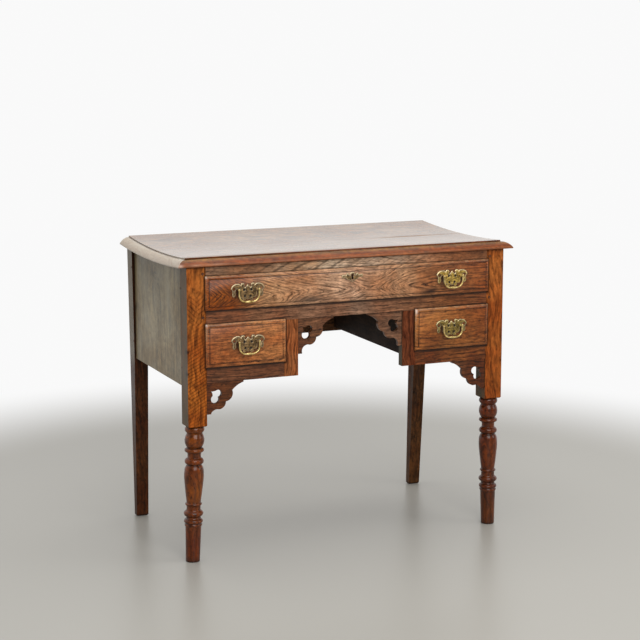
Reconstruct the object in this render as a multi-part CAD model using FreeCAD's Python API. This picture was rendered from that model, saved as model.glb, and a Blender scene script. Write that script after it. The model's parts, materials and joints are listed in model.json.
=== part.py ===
import FreeCAD, Part
import math
import os
from FreeCAD import Vector

# An oak lowboy. Millimetres: X along the front, Y from the front to the back, Z up.
# Pieces are built with Y = 0 at the front faces of the posts and Z = 0 on the floor, and centred at export.

# The case
table_height = 745.0        # floor to the top's front and back edges
case_width = 847.0          # over the two front posts
case_depth = 456.0          # front of the posts to the back of the back legs
post = 48.0                 # the front posts are square
top_rail_drop = 17.5        # underside of the top, at its lowest, to the top drawer's opening
top_opening = 76.5          # height of the top drawer's opening
mid_rail_height = 38.5
small_opening = 98.7        # height of the small drawers' openings
lower_rail_height = 40.8
rail_thickness = 22.0
knee_width = 280.0          # clear width of the knee hole
stile_width = 37.0
stile_thickness = 20.0
post_drop = 106.0           # the posts run this far below the lower rails before the turning starts
tenon_length = 24.0
tenon_thickness = 10.0
tenon_setback = 6.0         # front face of a rail to the front of its tenon
tenon_shoulder = 3.0
post_chamfer = 2.5

# The top: two boards, moulded along the front and both ends, hollowed by age across the width
top_thickness = 21.5
top_cup = 9.5               # how far the middle lies below the front and back edges
top_overhang_side = 22.5
top_overhang_front = 10.0
top_overhang_back = 2.0
seam_y = 225.0
mould_width = 24.0          # nose to the fillet's edge
mould_fillet = 3.0          # height of the step under the top surface
ovolo_swell = 3.6           # how far the worn ovolo's middle stands off the line between its ends
nose_height = 2.5
nose_round = 1.5

# Boards that close the case
panel_thickness = 16.0
panel_setback = 3.5         # outer face of the side panels behind the posts' outer faces
panel_drop = 12.5           # the side panels reach this far below the lower rails
tongue = 8.0                # depth and thickness of the tongues on the panels
back_board_thickness = 16.0
back_board_setback = 16.0   # back face of the back board in front of the back legs' backs
back_board_drop = 22.0      # the back board reaches this far below the small drawers' runners

# Back legs: plain, tapered on the front face, leaning in a little on the outer face
back_leg_depth = 38.0
back_leg_foot_depth = 18.0
back_leg_width = 35.5       # front posts' outer face to the back legs' inner face
back_leg_proud = 4.0        # outer face outside the front posts' faces, at the top
back_leg_lean = 7.6
right_leg_rake = 9.3        # the right leg as a whole leans in this much more, from the top to the foot
back_leg_round = 5.0        # worn edge round the foot

# Drawers
lip_overlap = 3.0
lip_proud = 8.0
lip_gap = 0.3
lip_edge = 2.6              # flat outer edge of the lip
lip_mould = 9.0
lip_quirk = 1.0
front_body = 12.0           # thickness of a drawer front inside its opening
drawer_clearance = 1.5
running_gap = 0.3
drawer_side = 10.0
drawer_back = 9.0
drawer_back_gap = 14.0      # back of a closed drawer to the back board
drawer_bottom = 7.0
bottom_rise = 6.0           # lower edge of the sides to the bottom board
bottom_groove = 4.0
bottom_tail = 1.0           # the bottom board ends this far short of the back's outer face
side_drop = 3.0             # drawer sides below the top of the front's body
back_drop = 1.0             # drawer back below the sides
dovetail_length = 9.0
dovetail_slope = 2.2
dovetail_pitch = 30.0
dovetail_share = 0.32       # half a tail's root, as a share of the pitch

# Runners, guides, kickers and bearers inside the case
runner_thickness = 12.0
runner_width = 54.0
bearer_width = 44.0
guide_height = 14.0
guide_gap = 1.0
kicker_thickness = 16.0
knee_panel_setback = 1.5
block_size = 16.0
block_length = 70.0
block_offset = 170.0        # the blocks' centres from the middle

# Pierced brackets
bracket_thickness = 10.0
bracket_setback = 2.0
bracket_reach = 94.0
bracket_tip = 4.0
bracket_foot = 11.0
outer_bracket_height = 77.0
knee_bracket_height = 87.0

# Pegs
peg_radius = 3.2
peg_inset = 8.0
peg_length = 26.0
peg_proud = 0.6
side_peg_radius = 2.6
side_peg_inset = 4.0
side_peg_drop = 46.0        # from the upper and lower ends of the side panels

# Brasswork
plate_thickness = 1.2
handle_shift = 3.2          # the handles' centres nearer the middle than the small drawers' centres
handle_rise = 6.0           # the bail's axis above the middle of the opening
bail_standoff = 9.0         # the bail's axis in front of the plate
post_head = 3.5
head_offset = 19.5
head_neck = 2.2
collar_radius = 3.9
collar_thickness = 1.4
shank_radius = 2.0
shank_clearance = 0.15
nut_size = 10.0
nut_thickness = 3.0
shank_tail = 2.0
bail_rod = 1.9
bail_belly = 2.9
bail_knob = 2.6
bail_head_gap = 0.4
bail_pin = 1.4
bail_pin_clearance = 0.08
bail_pin_length = 3.0
bail_drop = 29.2            # axis to the centre of the grip
bail_corner = 17.0
small_hole = 2.0
wing_hole = 2.9
escutcheon_drop = 19.0      # centre of the escutcheon below the top of the opening
escutcheon_thickness = 1.0
keyhole_rise = 3.5
keyhole_radius = 3.0
keyhole_slot = 3.2
keyhole_foot = 4.6          # the slot's width at its lower end
keyhole_length = 10.0
lock_width = 60.0
lock_height = 40.0
lock_thickness = 8.0
lock_clearance = 0.1
bolt_width = 24.0
bolt_thickness = 5.0
bolt_height = 14.0
bolt_clearance = 0.2
strike_clearance = 1.0
strike_depth = 9.0

# The turning on the front legs, drawn for this height and this post, and stretched to those it has
turning_drawn = 336.0
turning_square = 48.0
foot_radius = 17.2
foot_top_radius = 19.3
neck_radius = 17.0
upper_neck_radius = 19.2    # on either side of the ball
lower_neck_radius = 17.0
cove_radius = 18.4
bulb_radius = 23.9
vase_mid_radius = 20.2
ball_radius = 23.8
disc_radius = 23.8
turning_spare = 2.0         # the turning is drawn past both its ends, before it leans
left_turning_lean = 9.0     # the turnings have settled outwards by this much at the foot
right_turning_lean = 3.8

# Levels and places that follow from the above
top_mid = table_height - top_cup
underside = top_mid - top_thickness
top_opening_top = underside - top_rail_drop
top_opening_floor = top_opening_top - top_opening
small_opening_top = top_opening_floor - mid_rail_height
small_opening_floor = small_opening_top - small_opening
rail_bottom = small_opening_floor - lower_rail_height
turning_height = rail_bottom - post_drop
panel_bottom = rail_bottom - panel_drop
back_board_bottom = small_opening_floor - back_board_drop
post_outer = case_width / 2
post_inner = post_outer - post
back_leg_inner = post_outer - back_leg_width
stile_inner = knee_width / 2
stile_outer = stile_inner + stile_width
handle_offset = (stile_outer + post_inner) / 2 - handle_shift
panel_outer = post_outer - panel_setback
panel_inner = panel_outer - panel_thickness
back_leg_front = case_depth - back_leg_depth
back_board_back = case_depth - back_board_setback
back_board_front = back_board_back - back_board_thickness
drawer_end = back_board_front - drawer_back_gap
top_front = -top_overhang_front
top_back = case_depth + top_overhang_back
top_side = post_outer + top_overhang_side
top_middle = (top_front + top_back) / 2
half_top = (top_back - top_front) / 2
upper_radius = half_top ** 2 / (2 * top_cup)
under_radius = upper_radius + top_thickness
cup_axis_z = top_mid + upper_radius
halfway = math.sqrt(0.5)    # the middle of a quarter round, as a share of its radius
bail_y = -lip_proud - plate_thickness - bail_standoff
front_reach = bail_y - post_head
centre_y = (front_reach + top_back) / 2


def box(x0, x1, y0, y1, z0, z1):
    return Part.makeBox(x1 - x0, y1 - y0, z1 - z0, Vector(x0, y0, z0))


def cylinder_x(radius, length, start):
    return Part.makeCylinder(radius, length, start, Vector(1, 0, 0))


def cylinder_y(radius, length, start):
    return Part.makeCylinder(radius, length, start, Vector(0, 1, 0))


def mirrored(shape):
    return shape.mirror(Vector(0, 0, 0), Vector(1, 0, 0))


def fused(shapes):
    return shapes[0].fuse(shapes[1:]).removeSplitter()


def outline_edges(start, steps):
    """Edges from start: a step of one point is a line, and a step of two is an arc through the first."""
    edges = []
    here = start
    for step in steps:
        if len(step) == 1:
            edges.append(Part.LineSegment(here, step[0]).toShape())
        else:
            edges.append(Part.Arc(here, step[0], step[1]).toShape())
        here = step[-1]
    return edges


def closed_face(edges):
    return Part.Face(Part.Wire(Part.__sortEdges__(edges)))


# The top

def mould_outline(place):
    """The moulded edge, from the underside to the top surface. place(d, h) sets a point d in from the
    nose and h above the underside."""
    fillet_foot = top_thickness - mould_fillet
    rise = fillet_foot - nose_height
    slope = math.hypot(mould_width, rise)
    swell_in = ovolo_swell * rise / slope
    swell_up = ovolo_swell * mould_width / slope
    ovolo_middle = place(mould_width / 2 - swell_in, nose_height + rise / 2 + swell_up)
    nose_middle = nose_round * (1 - halfway)
    return [
        (place(nose_middle, nose_middle), place(0, nose_round)),
        (place(0, nose_height),),
        (ovolo_middle, place(mould_width, fillet_foot)),
        (place(mould_width, top_thickness),),
    ]


def cupped_point(x, y, height):
    """A point on the hollowed board, height above its underside."""
    angle = (y - top_middle) / under_radius
    radius = under_radius - height
    return Vector(x, top_middle + radius * math.sin(angle), cup_axis_z - radius * math.cos(angle))


def top_long_section():
    """The front-to-back section, drawn out along X."""
    def front(d, h):
        return cupped_point(-top_side, top_front + d, h)
    steps = mould_outline(front)
    back_edge = cupped_point(-top_side, top_back, top_thickness)
    steps.append((cupped_point(-top_side, top_middle, top_thickness), back_edge))
    steps.append((cupped_point(-top_side, top_back, 0),))
    steps.append((cupped_point(-top_side, top_middle, 0), front(nose_round, 0)))
    face = closed_face(outline_edges(front(nose_round, 0), steps))
    return face.extrude(Vector(2 * top_side, 0, 0))


def top_end_section():
    """The end-to-end section, swung about the axis that the boards are hollowed round."""
    level = cup_axis_z - under_radius

    def right(d, h):
        return Vector(top_side - d, top_middle, level + h)
    half = outline_edges(right(nose_round, 0), mould_outline(right))
    edges = half + [mirrored(edge) for edge in half]
    for height, inset in ((0, nose_round), (top_thickness, mould_width)):
        left = Vector(inset - top_side, top_middle, level + height)
        edges.append(Part.LineSegment(left, right(inset, height)).toShape())
    swing = 1.5 * math.degrees(half_top / under_radius)
    axis_point = Vector(0, top_middle, cup_axis_z)
    face = closed_face(edges)
    face.rotate(axis_point, Vector(1, 0, 0), -swing)
    return face.revolve(axis_point, Vector(1, 0, 0), 2 * swing)


def top_boards():
    whole = top_long_section().common(top_end_section())
    front_half = box(-2 * top_side, 2 * top_side, -case_depth, seam_y, 0, 2 * table_height)
    return whole.common(front_half), whole.cut(front_half)


def under_top(shape):
    """Trims a piece of the case to the hollowed underside of the top."""
    above = cylinder_x(under_radius, 4 * top_side, Vector(-2 * top_side, top_middle, cup_axis_z))
    return shape.cut(above)


# Legs

def turned_point(radius, height):
    return Vector(radius * post / turning_square, 0, height * turning_height / turning_drawn)


def bead(bottom, top, neck, bulge):
    """A round bead between two heights, standing out from a neck."""
    return (turned_point(neck + bulge, (bottom + top) / 2), turned_point(neck, top))


def turning_steps():
    """The turning's outline, from the foot up."""
    return [
        (turned_point(foot_radius, -turning_spare),),
        (turned_point(foot_top_radius, 88),),
        bead(88, 96, foot_top_radius, 2.2),
        bead(96, 106.5, foot_top_radius, 3.7),
        (turned_point(cove_radius - 1, 110), turned_point(cove_radius, 113.5)),
        bead(113.5, 127, cove_radius, 5.3),
        (turned_point(lower_neck_radius, 129.5),),
        (turned_point(lower_neck_radius, 140),),
        bead(140, 146.5, lower_neck_radius, 3.4),
        (turned_point(vase_mid_radius, 172), turned_point(bulb_radius - 0.5, 203)),
        (turned_point(bulb_radius, 214), turned_point(bulb_radius - 0.6, 227)),
        (turned_point(bulb_radius - 2.6, 235), turned_point(neck_radius, 241.5)),
        bead(241.5, 257.5, neck_radius, 6.2),
        (turned_point(neck_radius - 0.8, 264.5), turned_point(neck_radius + 0.4, 272)),
        bead(272, 282, neck_radius + 0.4, 6.3),
        (turned_point(upper_neck_radius - 0.4, 285),),
        (turned_point(ball_radius, 301), turned_point(upper_neck_radius, 317)),
        (turned_point(upper_neck_radius, 320),),
        bead(320, turning_drawn, upper_neck_radius, disc_radius - upper_neck_radius),
        (turned_point(upper_neck_radius, turning_drawn + turning_spare),),
        (turned_point(0, turning_drawn + turning_spare),),
    ]


def turning():
    start = turned_point(0, -turning_spare)
    steps = turning_steps()
    edges = outline_edges(start, steps)
    edges.append(Part.LineSegment(steps[-1][0], start).toShape())
    return closed_face(edges).revolve(Vector(0, 0, 0), Vector(0, 0, 1), 360)


def front_leg(lean):
    """A front leg, drawn on the right, its turning tilted about its top to bring the foot out by lean."""
    square = box(post_inner, post_outer, 0, post, turning_height, table_height)
    lower_edges = [edge for edge in square.Edges if edge.BoundBox.ZMax < turning_height + 1]
    square = square.makeChamfer(post_chamfer, lower_edges)
    spindle = turning()
    spindle.translate(Vector(post_outer - post / 2, post / 2, 0))
    tilt = math.degrees(math.asin(lean / turning_height))
    spindle.rotate(Vector(post_outer - post / 2, post / 2, turning_height), Vector(0, 1, 0), -tilt)
    below_floor = box(0, 2 * post_outer, -post, 2 * post, -post, 0)
    return under_top(square.fuse(spindle.cut(below_floor)).removeSplitter())


def back_leg(rake):
    """A back leg, drawn on the right, its foot brought in by the rake."""
    top_x = post_outer + back_leg_proud
    foot_x = top_x - back_leg_lean - rake
    foot_inner = back_leg_inner - rake
    foot_front = case_depth - back_leg_foot_depth
    side = Part.makePolygon([
        Vector(foot_inner, foot_front, 0),
        Vector(foot_inner, back_leg_front, panel_bottom),
        Vector(foot_inner, back_leg_front, table_height),
        Vector(foot_inner, case_depth, table_height),
        Vector(foot_inner, case_depth, 0),
        Vector(foot_inner, foot_front, 0),
    ])
    slab = Part.Face(side).extrude(Vector(top_x - foot_inner, 0, 0))
    front = Part.makePolygon([
        Vector(foot_inner, 0, 0),
        Vector(foot_x, 0, 0),
        Vector(top_x, 0, table_height),
        Vector(back_leg_inner, 0, table_height),
        Vector(foot_inner, 0, 0),
    ])
    leg = slab.common(Part.Face(front).extrude(Vector(0, 2 * case_depth, 0)))
    foot_edges = [edge for edge in leg.Edges if edge.BoundBox.ZMax < 1]
    return under_top(leg.makeFillet(back_leg_round, foot_edges))


# The frame of the front

def rail(x0, x1, z0, z1, left_tenon, right_tenon):
    """A rail between shoulders at x0 and x1, with a tenon of each given length."""
    shapes = [box(x0, x1, 0, rail_thickness, z0, z1)]
    tenon_back = tenon_setback + tenon_thickness
    low = z0 + tenon_shoulder
    high = z1 - tenon_shoulder
    if left_tenon:
        shapes.append(box(x0 - left_tenon, x0, tenon_setback, tenon_back, low, high))
    if right_tenon:
        shapes.append(box(x1, x1 + right_tenon, tenon_setback, tenon_back, low, high))
    return fused(shapes)


def top_rail(strike):
    blank = rail(-post_inner, post_inner, top_opening_top, underside, tenon_length, tenon_length)
    crown = box(-post_inner, post_inner, 0, rail_thickness, underside - 1, table_height)
    return under_top(blank.fuse(crown).removeSplitter()).cut(strike)


def knee_stile():
    body = box(stile_inner, stile_outer, 0, stile_thickness, rail_bottom, small_opening_top)
    tenon_back = tenon_setback + tenon_thickness
    tenon = box(
        stile_inner + 2 * tenon_shoulder, stile_outer - 2 * tenon_shoulder,
        tenon_setback, tenon_back,
        small_opening_top, small_opening_top + tenon_length,
    )
    return body.fuse(tenon).removeSplitter()


# The closed sides and back

def side_panel():
    middle = (panel_outer + panel_inner) / 2
    board = box(panel_inner, panel_outer, post, back_leg_front, panel_bottom, table_height)
    tongues = box(
        middle - tongue / 2, middle + tongue / 2,
        post - tongue, back_leg_front + tongue,
        panel_bottom, table_height,
    )
    return under_top(fused([board, tongues]))


def back_board():
    middle = (back_board_front + back_board_back) / 2
    half = back_leg_inner
    reach = half + tongue
    board = box(-half, half, back_board_front, back_board_back, back_board_bottom, table_height)
    tongues = box(-reach, reach, middle - tongue / 2, middle + tongue / 2, back_board_bottom, table_height)
    return under_top(fused([board, tongues]))


def knee_panel():
    x0 = stile_inner + knee_panel_setback
    bottom = small_opening_floor - runner_thickness
    return box(x0, x0 + panel_thickness, stile_thickness, back_board_front, bottom, small_opening_top)


# Runners and the rest of the inside, on the right-hand side

def top_runner():
    """Carries the top drawer along the side of the case."""
    x0 = panel_inner - runner_width
    floor = top_opening_floor
    return box(x0, panel_inner, rail_thickness, back_board_front, floor - runner_thickness, floor)


def knee_bearer():
    """Joins the mid rail to the back board over a knee panel, and keeps a small drawer from tipping."""
    x0 = stile_inner + knee_panel_setback
    return box(x0, x0 + bearer_width, rail_thickness, back_board_front, small_opening_top, top_opening_floor)


def lower_runners():
    floor = small_opening_floor
    outer = box(panel_inner - runner_width, panel_inner, rail_thickness, back_board_front,
                floor - runner_thickness, floor)
    knee_face = stile_inner + knee_panel_setback + panel_thickness
    inner = box(knee_face, knee_face + bearer_width, rail_thickness, back_board_front,
                floor - runner_thickness, floor)
    return outer, inner


def guides():
    """Strips on the runners that hold the drawers square: top, small outer and small inner."""
    edge = post_inner + guide_gap
    knee_face = stile_inner + knee_panel_setback + panel_thickness
    strips = []
    for floor in (top_opening_floor, small_opening_floor):
        strips.append(box(edge, panel_inner, post, back_board_front, floor, floor + guide_height))
    strips.append(box(knee_face, stile_outer - guide_gap, rail_thickness, back_board_front,
                      small_opening_floor, small_opening_floor + guide_height))
    return strips


def kicker():
    """Keeps the top drawer from tipping as it is drawn out."""
    x0 = panel_inner - runner_width
    low = top_opening_top
    return box(x0, panel_inner, rail_thickness, back_board_front, low, low + kicker_thickness)


def round_posts(piece):
    """Notches a piece round the front post and the back leg."""
    front_square = box(post_inner, post_outer, 0, post, 0, table_height)
    back_square = box(back_leg_inner, post_outer, back_leg_front, case_depth, 0, table_height)
    return piece.cut(front_square).cut(back_square)


def top_blocks():
    """Blocks that hold the top to the top rail and the back board, on the right."""
    blocks = []
    x0 = block_offset - block_length / 2
    for y0 in (rail_thickness, back_board_front - block_size):
        blank = box(x0, x0 + block_length, y0, y0 + block_size, underside - block_size, table_height)
        blocks.append(under_top(blank))
    return blocks


# Brackets

def bracket(height):
    """A pierced scroll bracket with its corner at the origin, reaching along +X and down."""
    def at(across, down):
        return Vector(across, 0, -down)
    hole_start = at(11.5, 21.5)
    steps = [
        (at(bracket_reach, 0),),
        (at(bracket_reach, bracket_tip),),
        (at(78, 11), at(65, 22)),
        (at(61.5, 42), at(48.5, 48.5)),
        (at(44, 60.5), at(31, 66.5)),
        (at(17, 68.5), at(bracket_foot, height - 3)),
        (at(bracket_foot, height),),
        (at(0, height),),
        (at(0, 0),),
    ]
    pierced = [
        (at(20, 21), at(27, 18.5)),
        (at(38, 28), at(30.5, 37.5)),
        (at(27.5, 50), at(17.5, 50.5)),
        (at(10.5, 42), at(14.5, 33)),
        (at(14.5, 27), hole_start),
    ]
    outer = Part.Wire(outline_edges(at(0, 0), steps))
    hole = Part.Wire(outline_edges(hole_start, pierced))
    blank = Part.Face(outer).extrude(Vector(0, bracket_thickness, 0))
    return blank.cut(Part.Face(hole).extrude(Vector(0, bracket_thickness, 0)))


def placed_bracket(height, corner_x, corner_z, towards_left):
    shape = bracket(height)
    if towards_left:
        shape = mirrored(shape)
    shape.translate(Vector(corner_x, bracket_setback, corner_z))
    return shape


# Pegs

def pegs(rake):
    """The draw-bore pegs of the right-hand post and back leg."""
    found = []
    for level in ((top_opening_top + underside) / 2, (small_opening_top + top_opening_floor) / 2):
        start = Vector(post_inner + peg_inset, -peg_proud, level)
        found.append(cylinder_y(peg_radius, peg_length + peg_proud, start))
    for level in (underside - side_peg_drop, panel_bottom + side_peg_drop):
        leg_y = back_leg_front + side_peg_inset
        for y, face in ((post - side_peg_inset, post_outer), (leg_y, leg_face_at(level, rake))):
            start = Vector(face - peg_length, y, level)
            found.append(cylinder_x(side_peg_radius, peg_length + peg_proud, start))
    return found


def leg_face_at(level, rake):
    """X of the back leg's leaning outer face at a height."""
    return post_outer + back_leg_proud - (back_leg_lean + rake) * (1 - level / table_height)


# Drawers

def lip_section(half, place):
    """Half of a lipped front's section. place(u, p) sets a point u out from the middle and p proud."""
    edge = half - lip_mould
    step = lip_proud - lip_quirk
    rise = step - lip_edge
    middle = place(half - lip_mould * (1 - halfway), lip_edge + rise * halfway)
    return [
        (place(half, lip_gap),),
        (place(half, lip_edge),),
        (middle, place(edge, step)),
        (place(edge, lip_proud),),
    ]


def lip_slab(half, place, travel):
    """The moulded section, mirrored about the middle and drawn out along travel."""
    right = outline_edges(place(0, lip_gap), lip_section(half, place))
    left = outline_edges(place(0, lip_gap), lip_section(half, lambda u, p: place(-u, p)))
    face_edge = half - lip_mould
    across = Part.LineSegment(place(-face_edge, lip_proud), place(face_edge, lip_proud)).toShape()
    return closed_face(right + left + [across]).extrude(travel)


def drawer_front(x0, x1, z0, z1):
    """A lipped front, moulded all round, for the opening x0..x1, z0..z1."""
    mid_x = (x0 + x1) / 2
    mid_z = (z0 + z1) / 2
    half_x = (x1 - x0) / 2 + lip_overlap
    half_z = (z1 - z0) / 2 + lip_overlap
    upright = lip_slab(half_x, lambda u, p: Vector(mid_x + u, -p, mid_z - half_z), Vector(0, 0, 2 * half_z))
    level = lip_slab(half_z, lambda u, p: Vector(mid_x - half_x, -p, mid_z + u), Vector(2 * half_x, 0, 0))
    lip = upright.common(level)
    gap = drawer_clearance
    body = box(x0 + gap, x1 - gap, -lip_gap, front_body, z0 + gap, z1 - gap)
    return lip.fuse(body).removeSplitter()


def dovetails(x0, x1, y_root, y_end, z0, z1):
    """Tails on the end of a drawer side, wider at the tip than at the root."""
    count = max(2, round((z1 - z0) / dovetail_pitch))
    pitch = (z1 - z0) / count
    root = pitch * dovetail_share
    tip = root + dovetail_slope
    tails = []
    for index in range(count):
        centre = z0 + pitch * (index + 0.5)
        wire = Part.makePolygon([
            Vector(x0, y_root, centre - root),
            Vector(x0, y_end, centre - tip),
            Vector(x0, y_end, centre + tip),
            Vector(x0, y_root, centre + root),
            Vector(x0, y_root, centre - root),
        ])
        tails.append(Part.Face(wire).extrude(Vector(x1 - x0, 0, 0)))
    return tails


def drawer(x0, x1, z0, z1):
    """Front, left side, right side, back and bottom of the drawer for an opening."""
    front = drawer_front(x0, x1, z0, z1)
    floor = z0 + running_gap
    top = z1 - drawer_clearance - side_drop
    outer_left = x0 + drawer_clearance
    outer_right = x1 - drawer_clearance
    inner_back = drawer_end - drawer_back
    board_low = floor + bottom_rise
    board_high = board_low + drawer_bottom
    board = box(
        outer_left + drawer_side - bottom_groove, outer_right - drawer_side + bottom_groove,
        front_body - bottom_groove, drawer_end - bottom_tail,
        board_low, board_high,
    )
    sides = []
    for a, b in ((outer_left, outer_left + drawer_side), (outer_right - drawer_side, outer_right)):
        body = box(a, b, front_body, inner_back, floor, top)
        tail_low = z0 + drawer_clearance
        ends = dovetails(a, b, front_body, front_body - dovetail_length, tail_low, top)
        ends += dovetails(a, b, inner_back, drawer_end, board_high, top)
        sides.append(fused([body] + ends).cut(board))
    back = box(outer_left, outer_right, inner_back, drawer_end, board_high, top - back_drop)
    for side in sides:
        front = front.cut(side)
        back = back.cut(side)
    return {
        "front": front.cut(board),
        "left_side": sides[0],
        "right_side": sides[1],
        "back": back,
        "bottom": board,
    }


# Brasswork: drawn with the handle's axis at the origin and the drawer's face at Y = 0

def brass_plate(start, steps, thickness):
    """A flat plate: its right half is drawn, in X and Z, and mirrored."""
    def at(point):
        return Vector(point[0], 0, point[1])
    half = outline_edges(at(start), [tuple(at(point) for point in step) for step in steps])
    face = closed_face(half + [mirrored(edge) for edge in half])
    return face.extrude(Vector(0, -thickness, 0))


def hole_through(radius, x, z):
    return cylinder_y(radius, 4 * plate_thickness, Vector(x, -2 * plate_thickness, z))


def handle_plate():
    """A bat-wing plate, pierced, with two holes for the posts."""
    steps = [
        ((3.2, 8.4), (5.4, 6.0)),
        ((7.4, 5.0), (8.6, 8.0)),
        ((9.4, 13.6), (13.2, 14.8)),
        ((16.8, 13.8), (18.2, 10.6)),
        ((21.6, 13.4), (26.5, 13.8)),
        ((36.0, 11.8), (42.2, 4.8)),
        ((42.6, 1.4), (40.4, 0.0)),
        ((38.8, -5.0), (39.4, -10.4)),
        ((38.8, -15.2), (36.0, -18.2)),
        ((31.8, -14.6), (31.2, -8.6)),
        ((31.0, -3.2), (29.4, -0.6)),
        ((26.9, 1.3), (24.6, -1.6)),
        ((23.6, -8.4), (23.8, -13.2)),
        ((21.8, -18.0), (17.6, -20.4)),
        ((15.2, -20.2), (13.6, -21.8)),
        ((11.4, -26.6), (7.0, -26.0)),
        ((5.2, -24.6), (4.0, -22.4)),
        ((2.4, -23.4), (0.0, -25.6)),
    ]
    plate = brass_plate((0.0, 12.2), steps, plate_thickness)
    piercings = ((small_hole, 9.2, -1.2), (small_hole, 7.2, -16.6), (wing_hole, 34.8, 1.4))
    for radius, x, z in piercings + ((shank_radius + shank_clearance, head_offset, 0),):
        plate = plate.cut(hole_through(radius, x, z)).cut(hole_through(radius, -x, z))
    return plate


def handle_post(side):
    """One cast post: collar, neck and ball head, its shank through the front, and the nut behind."""
    x = side * head_offset
    axis_y = -plate_thickness - bail_standoff
    face = -plate_thickness
    depth = lip_proud + front_body
    collar = cylinder_y(collar_radius, collar_thickness, Vector(x, face - collar_thickness, 0))
    neck = cylinder_y(head_neck, -collar_thickness - axis_y + face, Vector(x, axis_y, 0))
    ball = Part.makeSphere(post_head, Vector(x, axis_y, 0))
    shank = cylinder_y(shank_radius, depth + nut_thickness + shank_tail - face, Vector(x, face, 0))
    hole_end = x + side * (post_head - bail_pin_length - bail_pin_clearance)
    hole_start = Vector(min(hole_end, hole_end + side * 2 * post_head), axis_y, 0)
    hole = cylinder_x(bail_pin + bail_pin_clearance, 2 * post_head, hole_start)
    cast = fused([collar, neck, ball, shank]).cut(hole)
    half = nut_size / 2
    nut = box(x - half, x + half, depth, depth + nut_thickness, -half, half).cut(shank)
    return [cast, nut]


def bail_arm(arm_x, axis_y):
    """The right-hand knob, pin, arm and round corner."""
    knob_x = arm_x + bail_knob - bail_rod
    pin_tip = head_offset + post_head - bail_pin_length
    low = bail_corner - bail_drop
    corner_x = arm_x - bail_corner
    knob = Part.makeSphere(bail_knob, Vector(knob_x, axis_y, 0))
    pin = cylinder_x(bail_pin, knob_x - pin_tip, Vector(pin_tip, axis_y, 0))
    arm = Part.makeCylinder(bail_rod, -low, Vector(arm_x, axis_y, low), Vector(0, 0, 1))
    ring = Part.makeTorus(bail_corner, bail_rod, Vector(corner_x, axis_y, low), Vector(0, 1, 0))
    reach = bail_corner + bail_rod
    quarter = box(corner_x, corner_x + reach, axis_y - bail_rod, axis_y + bail_rod, low - reach, low)
    return fused([knob, pin, arm, ring.common(quarter)])


def bail():
    """The swinging handle: pins into the heads from outside, arms, round corners and a swelling grip."""
    arm_x = head_offset + post_head + bail_head_gap + bail_rod
    axis_y = -plate_thickness - bail_standoff
    arm = bail_arm(arm_x, axis_y)
    return fused([arm, mirrored(arm), grip(arm_x - bail_corner, axis_y)])


def grip(half_length, axis_y):
    low = -bail_drop
    start = Vector(-half_length, axis_y, low)
    end = Vector(half_length, axis_y, low)
    steps = [
        (Vector(-half_length, axis_y, low + bail_rod),),
        (Vector(0, axis_y, low + bail_belly), Vector(half_length, axis_y, low + bail_rod)),
        (end,),
        (start,),
    ]
    return closed_face(outline_edges(start, steps)).revolve(start, Vector(1, 0, 0), 360)


def keyhole(depth):
    """The keyhole's shape, as a tool of the given depth."""
    rounded = cylinder_y(keyhole_radius, depth, Vector(0, 0, 0))
    half, foot = keyhole_slot / 2, keyhole_foot / 2
    slot = Part.makePolygon([
        Vector(-half, 0, 0),
        Vector(half, 0, 0),
        Vector(foot, 0, -keyhole_length),
        Vector(-foot, 0, -keyhole_length),
        Vector(-half, 0, 0),
    ])
    return rounded.fuse(Part.Face(slot).extrude(Vector(0, depth, 0)))


def escutcheon():
    """A small winged diamond round the keyhole."""
    steps = [
        ((4.4, 10.4), (6.8, 6.6)),
        ((8.2, 4.6), (9.8, 5.4)),
        ((12.4, 9.2), (16.2, 7.2)),
        ((18.2, 4.4), (20.6, 4.6)),
        ((25.0, 5.8), (28.6, 2.2)),
        ((26.2, -1.6), (20.8, -1.6)),
        ((16.8, -2.6), (14.6, -5.8)),
        ((9.8, -7.4), (6.2, -9.4)),
        ((2.8, -10.8), (0.0, -13.2)),
    ]
    plate = brass_plate((0.0, 11.6), steps, escutcheon_thickness)
    tool = keyhole(4 * escutcheon_thickness)
    tool.translate(Vector(0, -2 * escutcheon_thickness, keyhole_rise))
    return plate.cut(tool)


def lock_box(grow):
    """The outside of the lock, let into the back of the front and up to its top edge."""
    top = top_opening_top - drawer_clearance
    half = lock_width / 2 + grow
    return box(-half, half, front_body - lock_thickness - grow, front_body, top - lock_height - grow, top)


def bolt(grow, rise):
    top = top_opening_top - drawer_clearance
    half = bolt_width / 2 + grow
    middle = front_body - lock_thickness / 2
    half_thick = bolt_thickness / 2 + grow
    return box(-half, half, middle - half_thick, middle + half_thick, top - bolt_height - grow, top + rise)


def drawer_lock():
    """The lock's case, open for the key, and its bolt, drawn back."""
    case = lock_box(0).cut(bolt(bolt_clearance, 1))
    return case.cut(keyhole_at(front_body)), bolt(0, 0).cut(keyhole_at(front_body))


def keyhole_at(depth):
    """The keyhole in the top drawer's front, from outside its face to a depth behind Y = 0."""
    tool = keyhole(depth + lip_proud + 2)
    tool.translate(Vector(0, -lip_proud - 1, top_opening_top - escutcheon_drop + keyhole_rise))
    return tool


# Assembly

def export(nodes):
    os.makedirs("parts", exist_ok=True)
    for name, shapes in nodes.items():
        shape = shapes[0] if len(shapes) == 1 else Part.makeCompound(shapes)
        shape = shape.copy()
        shape.translate(Vector(0, -centre_y, 0))
        shape.exportStep("parts/" + name + ".step")
        validity = "" if shape.isValid() else "NOT VALID"
        print(name, len(shape.Solids), "solids,", round(shape.Volume), "mm3", validity)


def add_pair(nodes, name, shapes):
    """Adds the right-hand piece and its mirror image."""
    nodes[name + "_right"] = shapes
    nodes[name + "_left"] = [mirrored(shape) for shape in shapes]


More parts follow.
